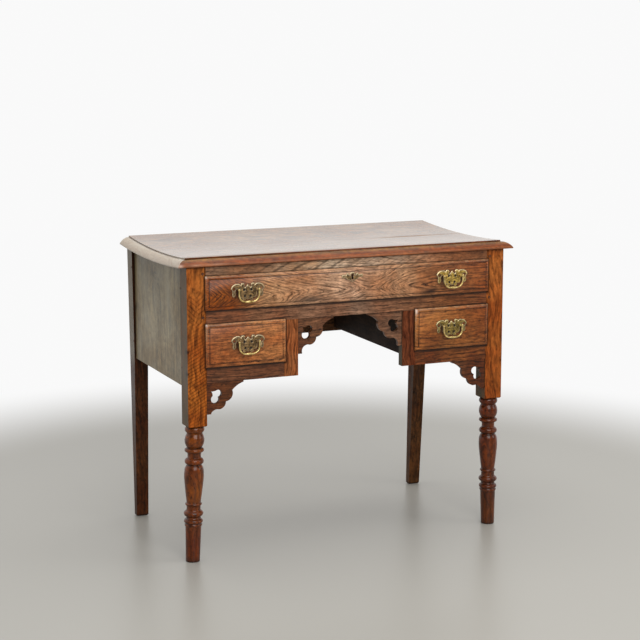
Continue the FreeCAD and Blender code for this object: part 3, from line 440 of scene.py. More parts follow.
boards = {  # by piece; a stain is a colour and its place, mm from the middle of the lowboy or up from the floor
    "top_front_board": dict(
        topOak, pith=(0, -120, 560),
        # a nick in the moulding, then painted highlights along the nose and at its left corner
        spots=(
            (1.0, "#30221c", (200, -236, 729), (8, 14, 6)), (0.3, "#e0a880", (0, -238, 726.5), (1200, 12, 2.5)),
            (0.8, "#e8c8b4", (-441, -232, 728), (7, 9, 4)), (0.5, "#c09478", (-402, -232, 728), (14, 12, 2.5)),
            (0.4, "#c09478", (-350, -232, 728), (22, 12, 2)),
        ),
    ),
    "top_back_board": dict(topOak, pith=(0, 120, 600)),
    "top_rail": dict(
        railOak, pith=(0, -150, 790), lean=(0, 6, 0), figure=0.6, fibre=0.3, dirt=0.25,
        spots=(shadowUnderTop, (0.4, "#1e120b", (350, -218, 716), (36, 12, 8))),
        crossing=((0.65, 22, 62, 0.75, (-110, -218, 708), (190, 60, 60)),
                  (0.4, 11, 62, 0.65, (80, -218, 708), (200, 60, 60))),
        stain=((-380, "#907462"), (-230, "#a08774"), (-120, "#d2c8bc"), (80, "#d0c2b8"), (240, "#ac8468"),
               (380, "#9a7254")),
    ),
    "mid_rail": dict(
        railOak, pith=(0, -150, 700),
        stain=((-380, "#865e46"), (-220, "#88644e"), (0, "#8b7468"), (255, "#825939"), (380, "#7c5234")),
    ),
    "lower_rail_left": dict(railOak, pith=(0, -120, 300), stain=((0, "#6c4935"),)),
    "lower_rail_right": dict(railOak, pith=(0, -120, 520), stain=((0, "#7a4c29"),)),
    "knee_stile_left": dict(postOak, pith=(-90, -150, 0), stain=((0, "#9d6a48"),)),
    "knee_stile_right": dict(postOak, pith=(90, -150, 0), stain=((0, "#6a3e2a"),)),
    "front_leg_left": dict(
        postOak, pith=(-460, -120, 0), lean=(0, 3, 0),
        crossing=((0.5, 7.5, 62, 0.55, (-400, -218, 450), (60, 9, 130)),
                  (0.5, 9, -50, 0.55, (-412, -218, 620), (16, 9, 40)),
                  (0.5, 9, 50, 0.55, (-388, -218, 620), (16, 9, 40))),
        spots=(shadowUnderTop, *((0.9, "#120a06", (-423, -218, z), (4, 12, 5)) for z in (521, 467))),
        stain=((445, "#a66529"), (630, "#ab6f37")),
    ),
    "front_leg_right": dict(
        postOak, pith=(480, -120, 0), lean=(0, -2, 0), spots=(shadowUnderTop,),
        stain=((445, "#995b2b"), (630, "#a66936")),
    ),
    "turned_left": dict(
        turnedOak, pith=(-395, -190, 0), stain=((50, "#65330e"), (195, "#7a4612"))),
    "turned_right": dict(
        turnedOak, pith=(398, -190, 0), stain=((50, "#5b310e"), (195, "#663410"))),
    "back_leg_left": dict(legOak, pith=(-380, 150, 0), stain=((0, "#50321d"),)),
    "back_leg_right": dict(legOak, pith=(380, 150, 0), stain=((0, "#583e25"),)),
    "side_panel_left": dict(
        panelOak, pith=(-380, 20, 0),
        # the first two darken the panel's upper part, a painted shadow of the top's overhang; the last two are
        # knots
        spots=(
            (0.4, "#2c2c1c", (-412, -165, 690), (60, 50, 60)), (0.4, "#34322a", (-412, 130, 700), (60, 130, 70)),
            (0.3, "#2a261c", (-412, -10, 590), (60, 14, 70)), (0.3, "#c8c4b0", (-412, -70, 640), (60, 22, 60)),
            (0.2, "#c8c4b0", (-412, 90, 560), (60, 50, 60)), (0.7, "#1e160e", (-412, 190, 566), (30, 9, 14)),
            (0.55, "#1e160e", (-412, 50, 673), (30, 14, 9)),
        ),
    ),
    "side_panel_right": dict(panelOak, pith=(380, 20, 0)),
    "back_board": dict(liningOak, pith=(0, 320, 560), stain=((0, "#8c7460"),)),
    "top_drawer_front": dict(
        frontOak, pith=(0, -222, 646), ring=7, sway=9,
        crossing=((0.75, 9, -48, 0.5, (-345, -226, 655), (26, 12, 34), True),),
        eyes=(
            ((-200, -226, 640), (250, 60, 200), 0, (80, 0, 0)), ((-430, -226, 654), (85, 60, 90), -75, (0, 0, 0)),
            ((-190, -226, 629), (30, 60, 9), -14, (0, 0, 0)), ((60, -226, 645), (60, 60, 60), 30, (0, 0, 0)),
        ),
        spots=(
            *handleShadowAndDirt, (1.0, "#2a160c", (214, -226, 628), (22, 12, 7)),
            (0.8, "#4a3a30", (-112, -226, 629), (44, 12, 8)), (0.8, "#f0d8c0", (-378, -226, 698), (3.5, 12, 3.5)),
        ),
        # the pale greyish middle of this stain is a painted sheen
        stain=((-378, "#92500e"), (-310, "#985a1e"), (-220, "#bc9878"), (0, "#c4a999"), (135, "#b89980"),
               (230, "#a87c58"), (378, "#864c1e")),
    ),
    "left_drawer_front": dict(
        frontOak, pith=(-270, -120, 380), figure=0.5,
        fibreLength=25, poreLength=6, stain=((-378, "#a26c42"), (-160, "#ba8658")),
        spots=(*handleShadowAndDirt, (0.8, "#f4e0d4", (-378, -226, 583), (3.5, 12, 3.5)),
               (0.5, "#2a1810", (-372, -226, 572), (5, 12, 6))),
    ),
    "right_drawer_front": dict(
        frontOak, pith=(270, -120, 400), figure=0.5,
        fibreLength=30, poreLength=8, stain=((170, "#b07a46"), (378, "#8c5a30")),
        spots=(*handleShadowAndDirt, (0.7, "#f0dccc", (176, -226, 580), (3, 12, 7)),
               (0.45, "#2a160c", (222, -226, 500), (65, 12, 20))),
    ),
}
materials = {piece: oakMaterial(piece, **board) for piece, board in boards.items()}
bracketWood = oakMaterial(  # sawn out, filed and stained: short lines, dull
    "bracket", made="stainedOak", pith=(0, -150, 520), figure=0.6, ring=7, wear=0.15,
    stain=((-350, "#60381c"), (-120, "#70503c"), (120, "#7a6052"), (350, "#60381c")))
liningWood = oakMaterial("lining", pith=(0, 0, 300), **liningOak)
sideWood = oakMaterial("side", grain="y", pith=(30, 0, 500), **liningOak)
darkInside = oakMaterial(  # the same, black with age and shadow
    "inside", **dict(liningOak, grain="y", pith=(0, 0, 520), light="#2c1c12", dark="#160c08", tint="#20140c"))
pegWood = oakMaterial(  # end grain that drank the stain: dark dots with no pale edge
    "peg", made="stainedOak", grain="y", pith=(0, 0, 0), wear=0.0, stain=((0, "#6a4630"),))
# one aged cast brass in lit and shaded copies: brighter towards the right, a painted reflection
brass = brassMaterial("agedCastBrass")
rubbedBrass = brassMaterial(  # bails that hands keep bright
    "handledBrass", bright="#f2d890", dull="#b89a54", filed="#fff0cc", roughness=0.28)
halfLitBrass = brassMaterial("agedCastBrassHalfLit", bright="#b89c50", dull="#66562c", filed="#e4d2a0")
shadedBrass = brassMaterial("agedCastBrassShaded", bright="#a88656", dull="#5a4428", filed="#ecd6ac", roughness=0.42)
iron = ironMaterial("forgedIron")
print("materials made")

kinds = {  # by what a name holds
    "_bail": rubbedBrass, "_lock": iron, "bracket": bracketWood, "pegs": pegWood, "_side": sideWood,
    "_back": liningWood, "_bottom": liningWood,
}


def materialFor(name):
    if name.endswith(("_plate", "_posts")) or name == "escutcheon":
        # the right handles take the lit copies, the left ones the shaded copy
        return brass if name.startswith("top_right") else halfLitBrass if "right" in name else shadedBrass
    return materials.get(name) or next((kinds[part] for part in kinds if part in name), darkInside)


for name, node in nodes.items():
    node.data.materials.clear()
    node.data.materials.append(materialFor(name))
print("nodes finished")


def addPiece(name, mesh, node):
    # a piece that stands for a node and rides with its body
    piece = bpy.data.objects.new(name, mesh)
    linkObject(piece)
    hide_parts(node)
    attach(piece, nodes[node]["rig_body"])
    return piece


# Softened boards: no arris is sharp on old oak, so each visible board is a copy with its edges rounded
softening = {  # mm of rounding along the grain, and the share of it across the grain, where boards meet
    "top_front_board": (0.8, 1), "top_back_board": (0.8, 1), "top_rail": (0.5, 0.5), "mid_rail": (0.6, 0.4),
    "lower_rail": (0.8, 0.4), "knee_stile": (0.9, 0.3), "front_leg": (1.5, 0.5), "back_leg": (1.6, 0.5),
    "side_panel": (0.8, 1), **{name: (0.6, 1) for name in drawerFronts}, "knee_bracket": (0.7, 1),
    "outer_bracket": (0.7, 1),
}
turningTop = 336.0  # mm, where the turning meets the square of a front leg
seamShare = 0.25  # of the rounding, along the seam between the top's boards
merging = 0.01 * mm  # nearer points are one
flatTo, bluntTo, shadedTo = 0.05, 32, 40  # degrees: edges dissolved, left unrounded and shaded smooth
shortest = 3 * mm  # shorter edges are those of pegs' holes


def mergedCopy(name):
    work = bmesh.new()
    work.from_mesh(nodes[name].data)
    bmesh.ops.remove_doubles(work, verts=work.verts, dist=merging)
    return work


def cutAbove(work, height):
    # keeps what lies above a level, and closes it
    bmesh.ops.bisect_plane(work, geom=work.verts[:] + work.edges[:] + work.faces[:], dist=0.001 * mm,
                           plane_co=(0, 0, height), plane_no=(0, 0, -1), clear_outer=True)
    rim = [edge for edge in work.edges if edge.is_boundary]
    bmesh.ops.edgeloop_fill(work, edges=rim)


def weighEdges(work, name, acrossShare):
    # how much each edge is rounded: fully along the grain, less where boards meet, not round a peg's hole
    low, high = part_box(name)
    grain = (high - low).to_tuple().index(max(high - low))
    weights = work.edges.layers.float.new("bevel_weight_edge")
    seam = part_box("top_back_board")[0].y
    for edge in work.edges:
        along = (edge.verts[1].co - edge.verts[0].co).normalized()
        short = "bracket" not in name and edge.calc_length() < shortest
        if short or edge.calc_face_angle(0) < math.radians(bluntTo):
            share = 0
        elif name.endswith("_board") and all(abs(vertex.co.y - seam) < 0.1 * mm for vertex in edge.verts):
            share = seamShare if abs(along.x) > 0.9 else 0
        else:
            share = 1 if abs(along[grain]) > 0.7 else acrossShare
        edge[weights] = share


def softenedCopy(name, width, acrossShare):
    work = mergedCopy(name)
    bmesh.ops.dissolve_limit(work, angle_limit=math.radians(flatTo), verts=work.verts, edges=work.edges)
    if name.startswith("front_leg"):
        cutAbove(work, (turningTop + 0.05) * mm)
    bmesh.ops.recalc_face_normals(work, faces=work.faces)
    weighEdges(work, name, acrossShare)
    mesh = bpy.data.meshes.new(name + "_soft")
    work.to_mesh(mesh)
    work.free()
    mesh.shade_smooth()
    mesh.set_sharp_from_angle(angle=math.radians(shadedTo))
    mesh.materials.append(materialFor(name))
    piece = addPiece(name + "_soft", mesh, name)
    bevel = piece.modifiers.new("softened", "BEVEL")
    bevel.width = width * mm
    bevel.segments = 3
    bevel.limit_method = "WEIGHT"
    bevel.harden_normals = True


for start, (width, acrossShare) in softening.items():
    for name in (start, start + "_left", start + "_right"):
        if name in nodes:
            softenedCopy(name, width, acrossShare)
print("boards softened")


def treeInputs(name, sizes):
    # a geometry tree with an input for each size
    kinds = {int: "Int", float: "Float", tuple: "Vector"}
    tree = bpy.data.node_groups.new(name, "GeometryNodeTree")
    tree.interface.new_socket("Geometry", in_out="INPUT", socket_type="NodeSocketGeometry")
    tree.interface.new_socket("Geometry", in_out="OUTPUT", socket_type="NodeSocketGeometry")
    for key, value in sizes.items():
        kind = "NodeSocket" + kinds[type(value)]
        socket = tree.interface.new_socket(key, in_out="INPUT", socket_type=kind)
        socket.default_value = value
    add = partial(addNode, tree)
    return tree, add, add("NodeGroupInput").outputs


def grown(name, tree, points, values):
    # runs a geometry tree on some points and gives back its result as a plain mesh
    start = bpy.data.meshes.new(name + "_start")
    start.from_pydata([Vector(point) * mm for point in points], [], [])
    holder = bpy.data.objects.new(name + "_start", start)
    linkObject(holder)
    modifier = holder.modifiers.new("grown", "NODES")
    modifier.node_group = tree
    for item in tree.interface.items_tree:
        if item.in_out == "INPUT" and item.name in values:
            modifier[item.identifier] = values[item.name]
    bpy.context.view_layer.update()
    evaluated = holder.evaluated_get(bpy.context.evaluated_depsgraph_get())
    mesh = bpy.data.meshes.new_from_object(evaluated)
    holder.modifiers.remove(modifier)
    bpy.data.objects.remove(holder)
    return mesh


# Turned front legs: an outline of radius and height, spun by a geometry tree
turning = {
    "Sides": 72, "Wobble": 0.25 * mm, "smoothing": 2, "spacing": 0.8,
    "outline": (  # (radius, height) in mm, or a middle point and an end for an arc
        ((17.2, 0),), ((19.3, 88),), ((21.5, 92), (19.3, 96)), ((23.0, 101.25), (19.3, 106.5)),
        ((17.4, 110), (18.4, 113.5)), ((23.7, 120.25), (18.4, 127)), ((17.0, 129.5),), ((17.0, 140),),
        ((20.4, 143.25), (17.0, 146.5)), ((20.2, 172), (23.4, 203)), ((23.9, 214), (23.3, 227)),
        ((21.3, 235), (17.0, 241.5)), ((23.2, 249.5), (17.0, 257.5)), ((16.2, 264.5), (17.4, 272)),
        ((23.7, 277), (17.4, 282)), ((18.8, 285),), ((23.8, 301), (19.2, 317)), ((19.2, 320),),
        ((23.8, 328), (19.2, 336)), ((19.2, 337),),
    ),
    "places": {"left": (-399.5, -194.15, -9.0), "right": (399.5, -194.15, 3.8)},  # x, y and the foot's lean
    "wobbleSize": 400,  # mm from one wobble to the next
}
castTo = 50  # degrees, up to which grown and cast pieces are shaded smooth


def arcThrough(start, middle, end, spacing):
    # points along the circle through three points, without the first; as complex numbers, which turn easily
    a, b, c = (complex(*point) for point in (start, middle, end))
    ratio = (c - a) / (b - a)
    centre = a + (b - a) * (ratio - abs(ratio) ** 2) / (2j * ratio.imag)
    arm = a - centre
    sweep = cmath.phase((c - centre) / arm) % math.tau
    if cmath.phase((b - centre) / arm) % math.tau > sweep:
        sweep -= math.tau
    steps = max(4, round(abs(arm * sweep) / spacing))
    spots = [centre + arm * cmath.exp(1j * sweep * i / steps) for i in range(1, steps + 1)]
    return [(spot.real, spot.imag) for spot in spots]


def turnedOutline():
    points = [turning["outline"][0][0]]
    for *bend, end in turning["outline"][1:]:
        start = points[-1]
        if bend:
            points += arcThrough(start, bend[0], end, turning["spacing"])
        else:
            count = max(1, round(math.dist(start, end) / turning["spacing"] / 2))
            points += [tuple(Vector(start).lerp(Vector(end), i / count)) for i in range(1, count + 1)]
    for _ in range(turning["smoothing"]):
        points = points[:1] + [
            ((a[0] + 2 * b[0] + c[0]) / 4, (a[1] + 2 * b[1] + c[1]) / 4)
            for a, b, c in zip(points, points[1:], points[2:])
        ] + points[-1:]
    first, last = points[0], points[-1]
    # the foot's edge is worn round
    rounded = [(0, first[1]), (first[0] - 1.2, first[1]), (first[0] - 0.35, first[1] + 0.35)]
    return rounded + points[1:] + [(0, last[1])]


def turningTree(material):
    tree, add, sizes = treeInputs("turning", {
        "Sides": 64, "Wobble": 0.0, "Place": (0, 0, 0), "Lean": 0.0, "Top": 0.3,
    })
    count = add("GeometryNodeAttributeDomainSize", {"Geometry": sizes["Geometry"]})
    columns = add("Math ADD", sizes["Sides"], 1.0)
    grid = add("GeometryNodeMeshGrid", {"Vertices X": columns, "Vertices Y": count})
    index = add("GeometryNodeInputIndex")
    row = add("Math MODULO", index, count)
    column = add("Math DIVIDE", index, count)
    column = add("Math FLOOR", column)
    turn = add("Math DIVIDE", column, sizes["Sides"])
    angle = add("Math MULTIPLY", turn, math.tau)
    outline = add("GeometryNodeSampleIndex", {
        "Geometry": sizes["Geometry"], "Value": add("GeometryNodeInputPosition"), "Index": row,
    }, data_type="FLOAT_VECTOR")
    outline = add("SeparateXYZ", outline).outputs
    cosine = add("Math COSINE", angle)
    sine = add("Math SINE", angle)
    onCircle = add("CombineXYZ", cosine, sine, outline["Z"])
    noise = add("TexNoise", {"Vector": onCircle, "Scale": 1 / (turning["wobbleSize"] * mm), "Detail": 1.0})
    wobble = add("Math SUBTRACT", noise.outputs["Fac"], 0.5)
    wobble = add("Math MULTIPLY", wobble, sizes["Wobble"])
    solid = add("Math GREATER_THAN", outline["X"], 1 * mm)
    radius = add("Math MULTIPLY_ADD", wobble, solid, outline["X"])
    leaning = add("MapRange", outline["Z"], 0.0, sizes["Top"], sizes["Lean"], 0.0)
    x = add("Math MULTIPLY_ADD", radius, cosine, leaning)
    y = add("Math MULTIPLY", radius, sine)
    spun = add("CombineXYZ", x, y, outline["Z"])
    placed = add("VectorMath ADD", spun, sizes["Place"])
    shaped = add("GeometryNodeSetPosition", {"Geometry": grid, "Position": placed})
    closed = add("GeometryNodeMergeByDistance", {"Geometry": shaped, "Distance": 0.005 * mm})
    smooth = add("GeometryNodeSetShadeSmooth", {"Geometry": closed})
    real = add("GeometryNodeRealizeInstances", {"Geometry": smooth})
    done = add("GeometryNodeSetMaterial", {"Geometry": real, "Material": material})
    add("NodeGroupOutput", done)
    return tree


def outwards(mesh):
    # turns the faces outwards and splits the shading at real corners
    work = bmesh.new()
    work.from_mesh(mesh)
    bmesh.ops.recalc_face_normals(work, faces=work.faces)
    work.to_mesh(mesh)
    work.free()
    mesh.set_sharp_from_angle(angle=math.radians(castTo))


for side, (x, y, lean) in turning["places"].items():
    outline = [(radius, 0, height) for radius, height in turnedOutline()]
    mesh = grown("turned_leg_" + side, turningTree(materials["turned_" + side]), outline, {
        "Sides": turning["Sides"], "Wobble": turning["Wobble"], "Place": Vector((x, y, 0)) * mm,
        "Lean": lean * mm, "Top": turningTop * mm,
    })
    outwards(mesh)
    piece = addPiece("turned_leg_" + side, mesh, "front_leg_" + side)
print("legs turned")

# Pegs: whittled to rough octagons and driven, so no two are alike
pegs = {"Radius": 3.35 * mm, "Sides": 8, "Length": 9 * mm, "Rough": 0.35 * mm, "Seed": 11}
pegFaces = {  # the way they face, and their share of the radius
    "front": ((0, -1, 0), 1.0), "left": ((-1, 0, 0), 0.82), "right": ((1, 0, 0), 0.82),
}


def pegTree(material):
    tree, add, sizes = treeInputs("pegs", dict(pegs, Facing=(0, -1, 0)))
    blank = add("GeometryNodeMeshCylinder", {
        "Vertices": sizes["Sides"], "Radius": sizes["Radius"], "Depth": sizes["Length"],
    })
    facing = add("FunctionNodeAlignRotationToVector", {"Vector": sizes["Facing"]}, axis="Z")
    spin = add("FunctionNodeRandomValue", {"Min": 0.0, "Max": math.tau, "Seed": sizes["Seed"]})
    spin = add("CombineXYZ", {2: spin})
    spin = add("FunctionNodeEulerToRotation", spin)
    turned = add("FunctionNodeRotateRotation", {"Rotation": facing, "Rotate By": spin}, rotation_space="LOCAL")
    driven = add("GeometryNodeInstanceOnPoints", {
        "Points": sizes["Geometry"], "Instance": blank, "Rotation": turned,
    })
    real = add("GeometryNodeRealizeInstances", {"Geometry": driven})
    rough = add("VectorMath SCALE", (1, 1, 1), {"Scale": sizes["Rough"]})
    back = add("VectorMath SCALE", rough, {"Scale": -1.0})
    jitter = add("FunctionNodeRandomValue", {
        "Min": back, "Max": rough, "Seed": sizes["Seed"],
    }, data_type="FLOAT_VECTOR")
    whittled = add("GeometryNodeSetPosition", {"Geometry": real, "Offset": jitter})
    done = add("GeometryNodeSetMaterial", {"Geometry": whittled, "Material": material})
    add("NodeGroupOutput", done)
    return tree


def islands(name):
    # the box of each loose part of a node
    work = mergedCopy(name)
    found, seen = [], set()
    for start in work.verts:
        if start in seen:
            continue
        group = [start]
        seen.add(start)
        for here in group:  # grows as it is walked
            for edge in here.link_edges:
                other = edge.other_vert(here)
                if other not in seen:
                    seen.add(other)
                    group.append(other)
        found.append([Vector(pick(vertex.co[i] for vertex in group) for i in range(3)) for pick in (min, max)])
    work.free()
    return found


pegSpots = {group: [] for group in pegFaces}
for low, high in islands("draw_bore_pegs"):
    middle, span = (low + high) / 2, high - low
    group = "front" if span.y > span.x else "left" if middle.x < 0 else "right"
    facing = Vector(pegFaces[group][0])
    pegSpots[group].append((middle + facing * (abs(facing.dot(span)) - pegs["Length"]) / 2) / mm)
for group, (facing, share) in pegFaces.items():
    values = dict(pegs, Radius=pegs["Radius"] * share, Facing=Vector(facing))
    mesh = grown("pegs_" + group, pegTree(pegWood), pegSpots[group], values)
    piece = addPiece("pegs_" + group, mesh, "draw_bore_pegs")
print("pegs driven:", sum(len(spots) for spots in pegSpots.values()))

# Cast plates: a broad bevel round the rim, a domed ground and chased strokes, flat behind
plateShape = {  # mm
    "grid": 0.8, "edge": 2.0, "edgeShare": 0.3, "dome": 0.7, "stroke": 0.9, "depth": 0.55, "pierced": 1.3,
    # filed rims are pale, with a painted highlight most where they face up
    "rimLow": 0.6, "rimHigh": 2.4, "filedTowards": Vector((-0.3, 0.95, 0)), "filedLeast": 0.25,
    "clear": 0.45,  # share of the grid's step that points keep from the rim
    "domeFrom": 5, "strokeFrom": 1.2,  # from the rim to the full dome and to full strokes
    "rimReach": 0.5, "piercedReach": 1.0, "strokeStep": 0.4,  # how far dirt reaches, and from point to point
    "strokeDirt": 0.85, "piercedDirt": 0.9, "rimDirt": 0.6, "backDirt": 0.5, "filed": 0.95,  # shares
}
plateStrokes = (  # chased lines on a handle's plate, mm from its axis: each an arc's start, middle and end
    ((2.4, 7.0), (4.6, 2.0), (3.2, -4.0)), ((12.6, 11.4), (13.0, 5.6), (9.0, 3.0)),
    ((21.5, 9.6), (28.0, 10.6), (34.0, 7.6)), ((34.6, -4.4), (36.6, -8.8), (35.4, -14.0)),
    ((3.0, -9.0), (9.0, -8.4), (14.6, -12.6)), ((16.0, -6.6), (18.8, -11.0), (16.4, -16.4)),
    ((6.8, -22.8), (3.4, -19.2), (1.6, -13.6)), ((26.6, 5.6), (29.4, 3.6), (30.6, 6.4)),
)
escutcheonStrokes = (
    ((7.2, 3.4), (11.0, 3.0), (14.6, 4.6)), ((18.4, 1.6), (21.4, 2.6), (25.0, 1.8)),
    ((3.6, -7.4), (7.4, -5.6), (11.2, -4.0)),
)


def plateLoops(name):
    # the closed loops round a plate's front face, as lists of (x, z) in mm
    work = mergedCopy(name)
    front = min(vertex.co.y for vertex in work.verts)
    flat = {face for face in work.faces if all(vertex.co.y < front + merging for vertex in face.verts)}
    nextTo = {}
    for face in flat:
        for edge in face.edges:
            if sum(other in flat for other in edge.link_faces) == 1:
                a, b = edge.verts
                nextTo.setdefault(a, []).append(b)
                nextTo.setdefault(b, []).append(a)
    loops, seen = [], set()
    for start in sorted(nextTo, key=lambda vertex: vertex.index):
        if start in seen:
            continue
        loop, here = [], start
        while here not in seen:
            seen.add(here)
            loop.append(Vector((here.co.x, here.co.z)) / mm)
            here = next((other for other in nextTo[here] if other not in seen), here)
        loops.append(loop)
    work.free()
    return loops


def treeOf(points):
    tree = kdtree.KDTree(len(points))
    for i, point in enumerate(points):
        tree.insert((point[0], point[1], 0), i)
    tree.balance()
    return tree


def insideLoops(spot, rim):
    # whether a line to the right of a spot crosses the rim an odd number of times
    spans = [(a, b) for a, b in rim if (a.y > spot.y) != (b.y > spot.y)]
    return sum(spot.x < a.x + (spot.y - a.y) * (b.x - a.x) / (b.y - a.y) for a, b in spans) % 2 == 1


def pairsRound(ring):
    # each item with the next, and the last with the first
    return list(zip(ring, ring[1:] + ring[:1]))


def castPlate(name, strokes, axis):
    shape = SimpleNamespace(**plateShape)
    loops = plateLoops(name)
    outer = max(loops, key=lambda loop: max(p.x for p in loop) - min(p.x for p in loop))
    for loop in loops:
        if loop is not outer:  # the piercings, opened out as a file leaves them
            middle = sum(loop, Vector((0, 0))) / len(loop)
            loop[:] = [middle + (point - middle) * shape.pierced for point in loop]
    points, edges, rim = [], [], []
    for loop in loops:
        edges += pairsRound(list(range(len(points), len(points) + len(loop))))
        points += loop
        rim += pairsRound(loop)
    outerCount = 4 * len(outer)
    rim.sort(key=lambda pair: pair[0] not in outer)
    rimSpots = [a.lerp(b, t / 4) for a, b in rim for t in range(4)]
    rimTree, outerTree = treeOf(rimSpots), treeOf(rimSpots[:outerCount])
    piercedTree = treeOf(rimSpots[outerCount:])
    lowX, highX = min(p.x for p in outer), max(p.x for p in outer)
    lowZ, highZ = min(p.y for p in outer), max(p.y for p in outer)
    middleX, halfX = (lowX + highX) / 2, (highX - lowX) / 2
    step = shape.grid
    for row in range(int((highZ - lowZ) / step) + 1):
        for column in range(int((highX - lowX) / step) + 1):
            spot = Vector((lowX + (column + 0.5 * (row % 2)) * step, lowZ + row * step))
            if rimTree.find(spot.to_3d())[2] > shape.clear * step:
                points.append(spot)
    spots, _, faces, _, _, _ = geometry.delaunay_2d_cdt(points, edges, [], 1, 1e-4, True)
    nudge = Vector((1e-5, 1e-5))
    faces = [face for face in faces if insideLoops(sum((spots[v] for v in face), nudge) / len(face), rim)]
    used = sorted({v for face in faces for v in face})
    order = {v: i for i, v in enumerate(used)}
    spots = [spots[v] for v in used]
    faces = [tuple(order[v] for v in face) for face in faces]

    lines = []
    for start, middle, end in strokes:
        for sign in (-1, 1):
            arc = [start] + arcThrough(start, middle, end, shape.strokeStep)
            lines += [(middleX + sign * x, axis + z) for x, z in arc]
    strokeTree = treeOf(lines)
    low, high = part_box(name)
    thickness = (high.y - low.y) / mm
    fronts, hollows, filedAndLitShares = [], [], []
    for spot in spots:
        place = spot.to_3d()
        near = rimTree.find(place)[2]
        rise = math.sin(min(1.0, near / shape.edge) * math.pi / 2)
        height = thickness * (shape.edgeShare + (1 - shape.edgeShare) * rise)
        bow = 1 - ((spot.x - middleX) / halfX) ** 2
        height += shape.dome * bow * min(1.0, near / shape.domeFrom)
        groove = math.exp(-(strokeTree.find(place)[2] / shape.stroke) ** 2)
        groove *= min(1.0, near / shape.strokeFrom)
        height -= shape.depth * groove
        fronts.append(Vector((spot.x * mm, high.y - height * mm, spot.y * mm)))
        outerSpot, _, fromOuter = outerTree.find(place)
        fromPierced = piercedTree.find(place)[2] if outerCount < len(rimSpots) else 99
        hollows.append(max(
            shape.strokeDirt * groove,
            shape.piercedDirt * math.exp(-(fromPierced / shape.piercedReach) ** 2),
            shape.rimDirt * math.exp(-(near / shape.rimReach) ** 2)))
        # the rim's pale share: filing, and a painted highlight strongest where the rim faces up
        upwards = max(0, (outerSpot - place).normalized().dot(shape.filedTowards))
        reached = shape.filedLeast + (1 - shape.filedLeast) * upwards
        onRim = shape.rimLow < fromOuter < shape.rimHigh
        filedAndLitShares.append(shape.filed * onRim * (1 - groove) * reached)
    backs = [Vector((spot.x * mm, high.y, spot.y * mm)) for spot in spots]
    total = len(spots)
    skins = faces + [tuple(v + total for v in reversed(face)) for face in faces]
    border = {pair for face in faces for pair in pairsRound(face)}
    skins += [(b, a, a + total, b + total) for a, b in sorted(border) if (b, a) not in border]
    mesh = bpy.data.meshes.new(name + "_cast")
    mesh.from_pydata(fronts + backs, [], skins)
    for key, values in (("hollow", hollows + [shape.backDirt] * total), ("filed", filedAndLitShares + [0.0] * total)):
        mesh.attributes.new(key, "FLOAT", "POINT").data.foreach_set("value", values)
    mesh.materials.append(materialFor(name))
    mesh.shade_smooth()
    outwards(mesh)
    piece = addPiece(name + "_cast", mesh, name)


escutcheonTop = 11.6  # mm from the keyhole's axis to the escutcheon's top
for name in nodes:
    if name.endswith("_plate"):
        low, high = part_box(name.replace("_plate", "_posts"))
        castPlate(name, plateStrokes, (low.z + high.z) / 2 / mm)
castPlate("escutcheon", escutcheonStrokes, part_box("escutcheon")[1].z / mm - escutcheonTop)
print("plates cast")

# The stage: a pale floor that fades to white, soft lamps and the camera
stage = {
    "floorGrey": "#a7a49c", "fadeStart": 1.1, "fadeEnd": 1.9, "floorReach": 40.0,
    "white": 0.95, "soft": 0.5, "dimRoom": 0.12,
}


def whiteForGloss(add, share):
    # what shows white: all that the camera sees, and for gloss only what lies towards the wall behind
    path = add("LightPath")
    gloss = add("Math MAXIMUM", path.outputs["Is Glossy Ray"], path.outputs["Is Transmission Ray"])
    towards = add("Math MULTIPLY", gloss, share)
    seen = add("Math MAXIMUM", path.outputs["Is Camera Ray"], towards)
    return seen, gloss


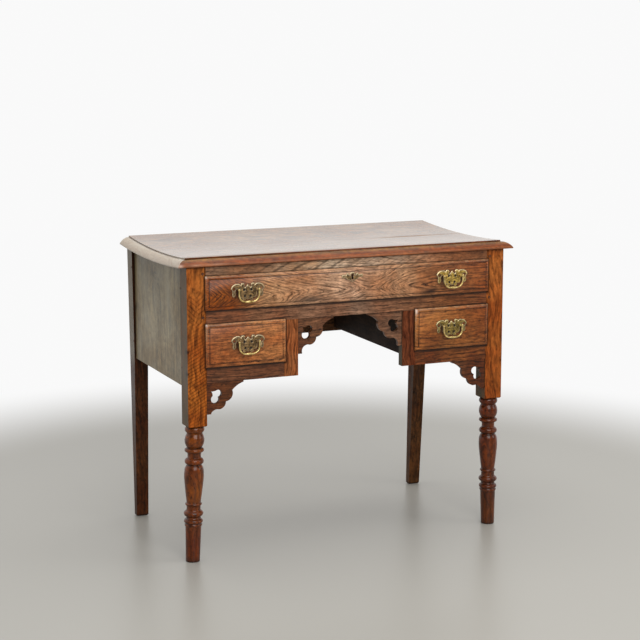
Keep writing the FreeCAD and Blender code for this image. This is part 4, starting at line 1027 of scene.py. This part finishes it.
def makeFloor():
    # painted boards, smooth and matt: a faint reflection under the feet, fading to white
    mesh = bpy.data.meshes.new("floor")
    reach = stage["floorReach"]
    corners = [(-reach, -reach, 0), (reach, -reach, 0), (reach, reach, 0), (-reach, reach, 0)]
    mesh.from_pydata(corners, [], [(0, 1, 2, 3)])
    floor = bpy.data.objects.new("floor", mesh)
    linkObject(floor)
    material, add = newMaterial("paleFloor")
    coords = add("TexCoord").outputs["Object"]
    away = add("VectorMath LENGTH", coords).outputs["Value"]
    fade = add("MapRange", away, stage["fadeStart"], stage["fadeEnd"], interpolation_type="SMOOTHSTEP")
    depth = add("SeparateXYZ", coords).outputs["Y"]
    behind = add("MapRange", depth, -1.0, 0.5)
    seen, _ = whiteForGloss(add, behind)
    share = add("Math MULTIPLY", fade, seen)
    ground = add("BsdfPrincipled", {"Base Color": toLinear(stage["floorGrey"]), "Roughness": 0.35})
    white = add("Emission", {"Color": (1, 1, 1, 1), "Strength": stage["white"]})
    mixed = add("MixShader", share, ground, white)
    add("OutputMaterial", {"Surface": mixed})
    mesh.materials.append(material)


def makeWorld():
    world = bpy.data.worlds.new("studio")
    bpy.context.scene.world = world
    world.use_nodes = True
    world.node_tree.nodes.clear()
    add = partial(addNode, world.node_tree)
    way = add("TexCoord").outputs["Generated"]
    depth = add("SeparateXYZ", way).outputs["Y"]
    behind = add("MapRange", depth, -0.35, 0.25)
    seen, gloss = whiteForGloss(add, behind)
    soft, dim, white = (add("Background", (1, 1, 1, 1), stage[key]) for key in ("soft", "dimRoom", "white"))
    unseen = add("MixShader", gloss, soft, dim)
    mixed = add("MixShader", seen, unseen, white)
    add("OutputWorld", {"Surface": mixed})


lamps = (  # name, place in m, size in m, watts
    ("keyLamp", (-0.6, -3.5, 2.4), 2.4, 90),
    ("topLamp", (0.2, 0.0, 3.2), 2.6, 40),
    ("rightLamp", (3.2, -2.4, 1.6), 1.8, 25),
)


def makeLamps():
    for name, place, size, watts in lamps:
        data = bpy.data.lights.new(name, "AREA")
        data.shape = "SQUARE"
        data.size = size
        data.energy = watts
        lamp = bpy.data.objects.new(name, data)
        lamp.location = place
        lamp.rotation_euler = (Vector((0, 0, 0.45)) - Vector(place)).to_track_quat("-Z", "Y").to_euler()
        linkObject(lamp)


cameraSizes = {"place": (-1.7412, -4.0620, 1.3189), "turn": 23.34, "tilt": 10.08, "lens": 98.36}


def makeCamera():
    data = bpy.data.cameras.new("camera")
    data.lens = cameraSizes["lens"]
    data.sensor_width = 36.0
    camera = bpy.data.objects.new("camera", data)
    camera.location = cameraSizes["place"]
    camera.rotation_euler = (math.radians(90 - cameraSizes["tilt"]), 0, math.radians(-cameraSizes["turn"]))
    linkObject(camera)
    bpy.context.scene.camera = camera


makeFloor()
makeWorld()
makeLamps()
makeCamera()
bpy.context.scene.view_settings.view_transform = "Standard"
print("stage set")
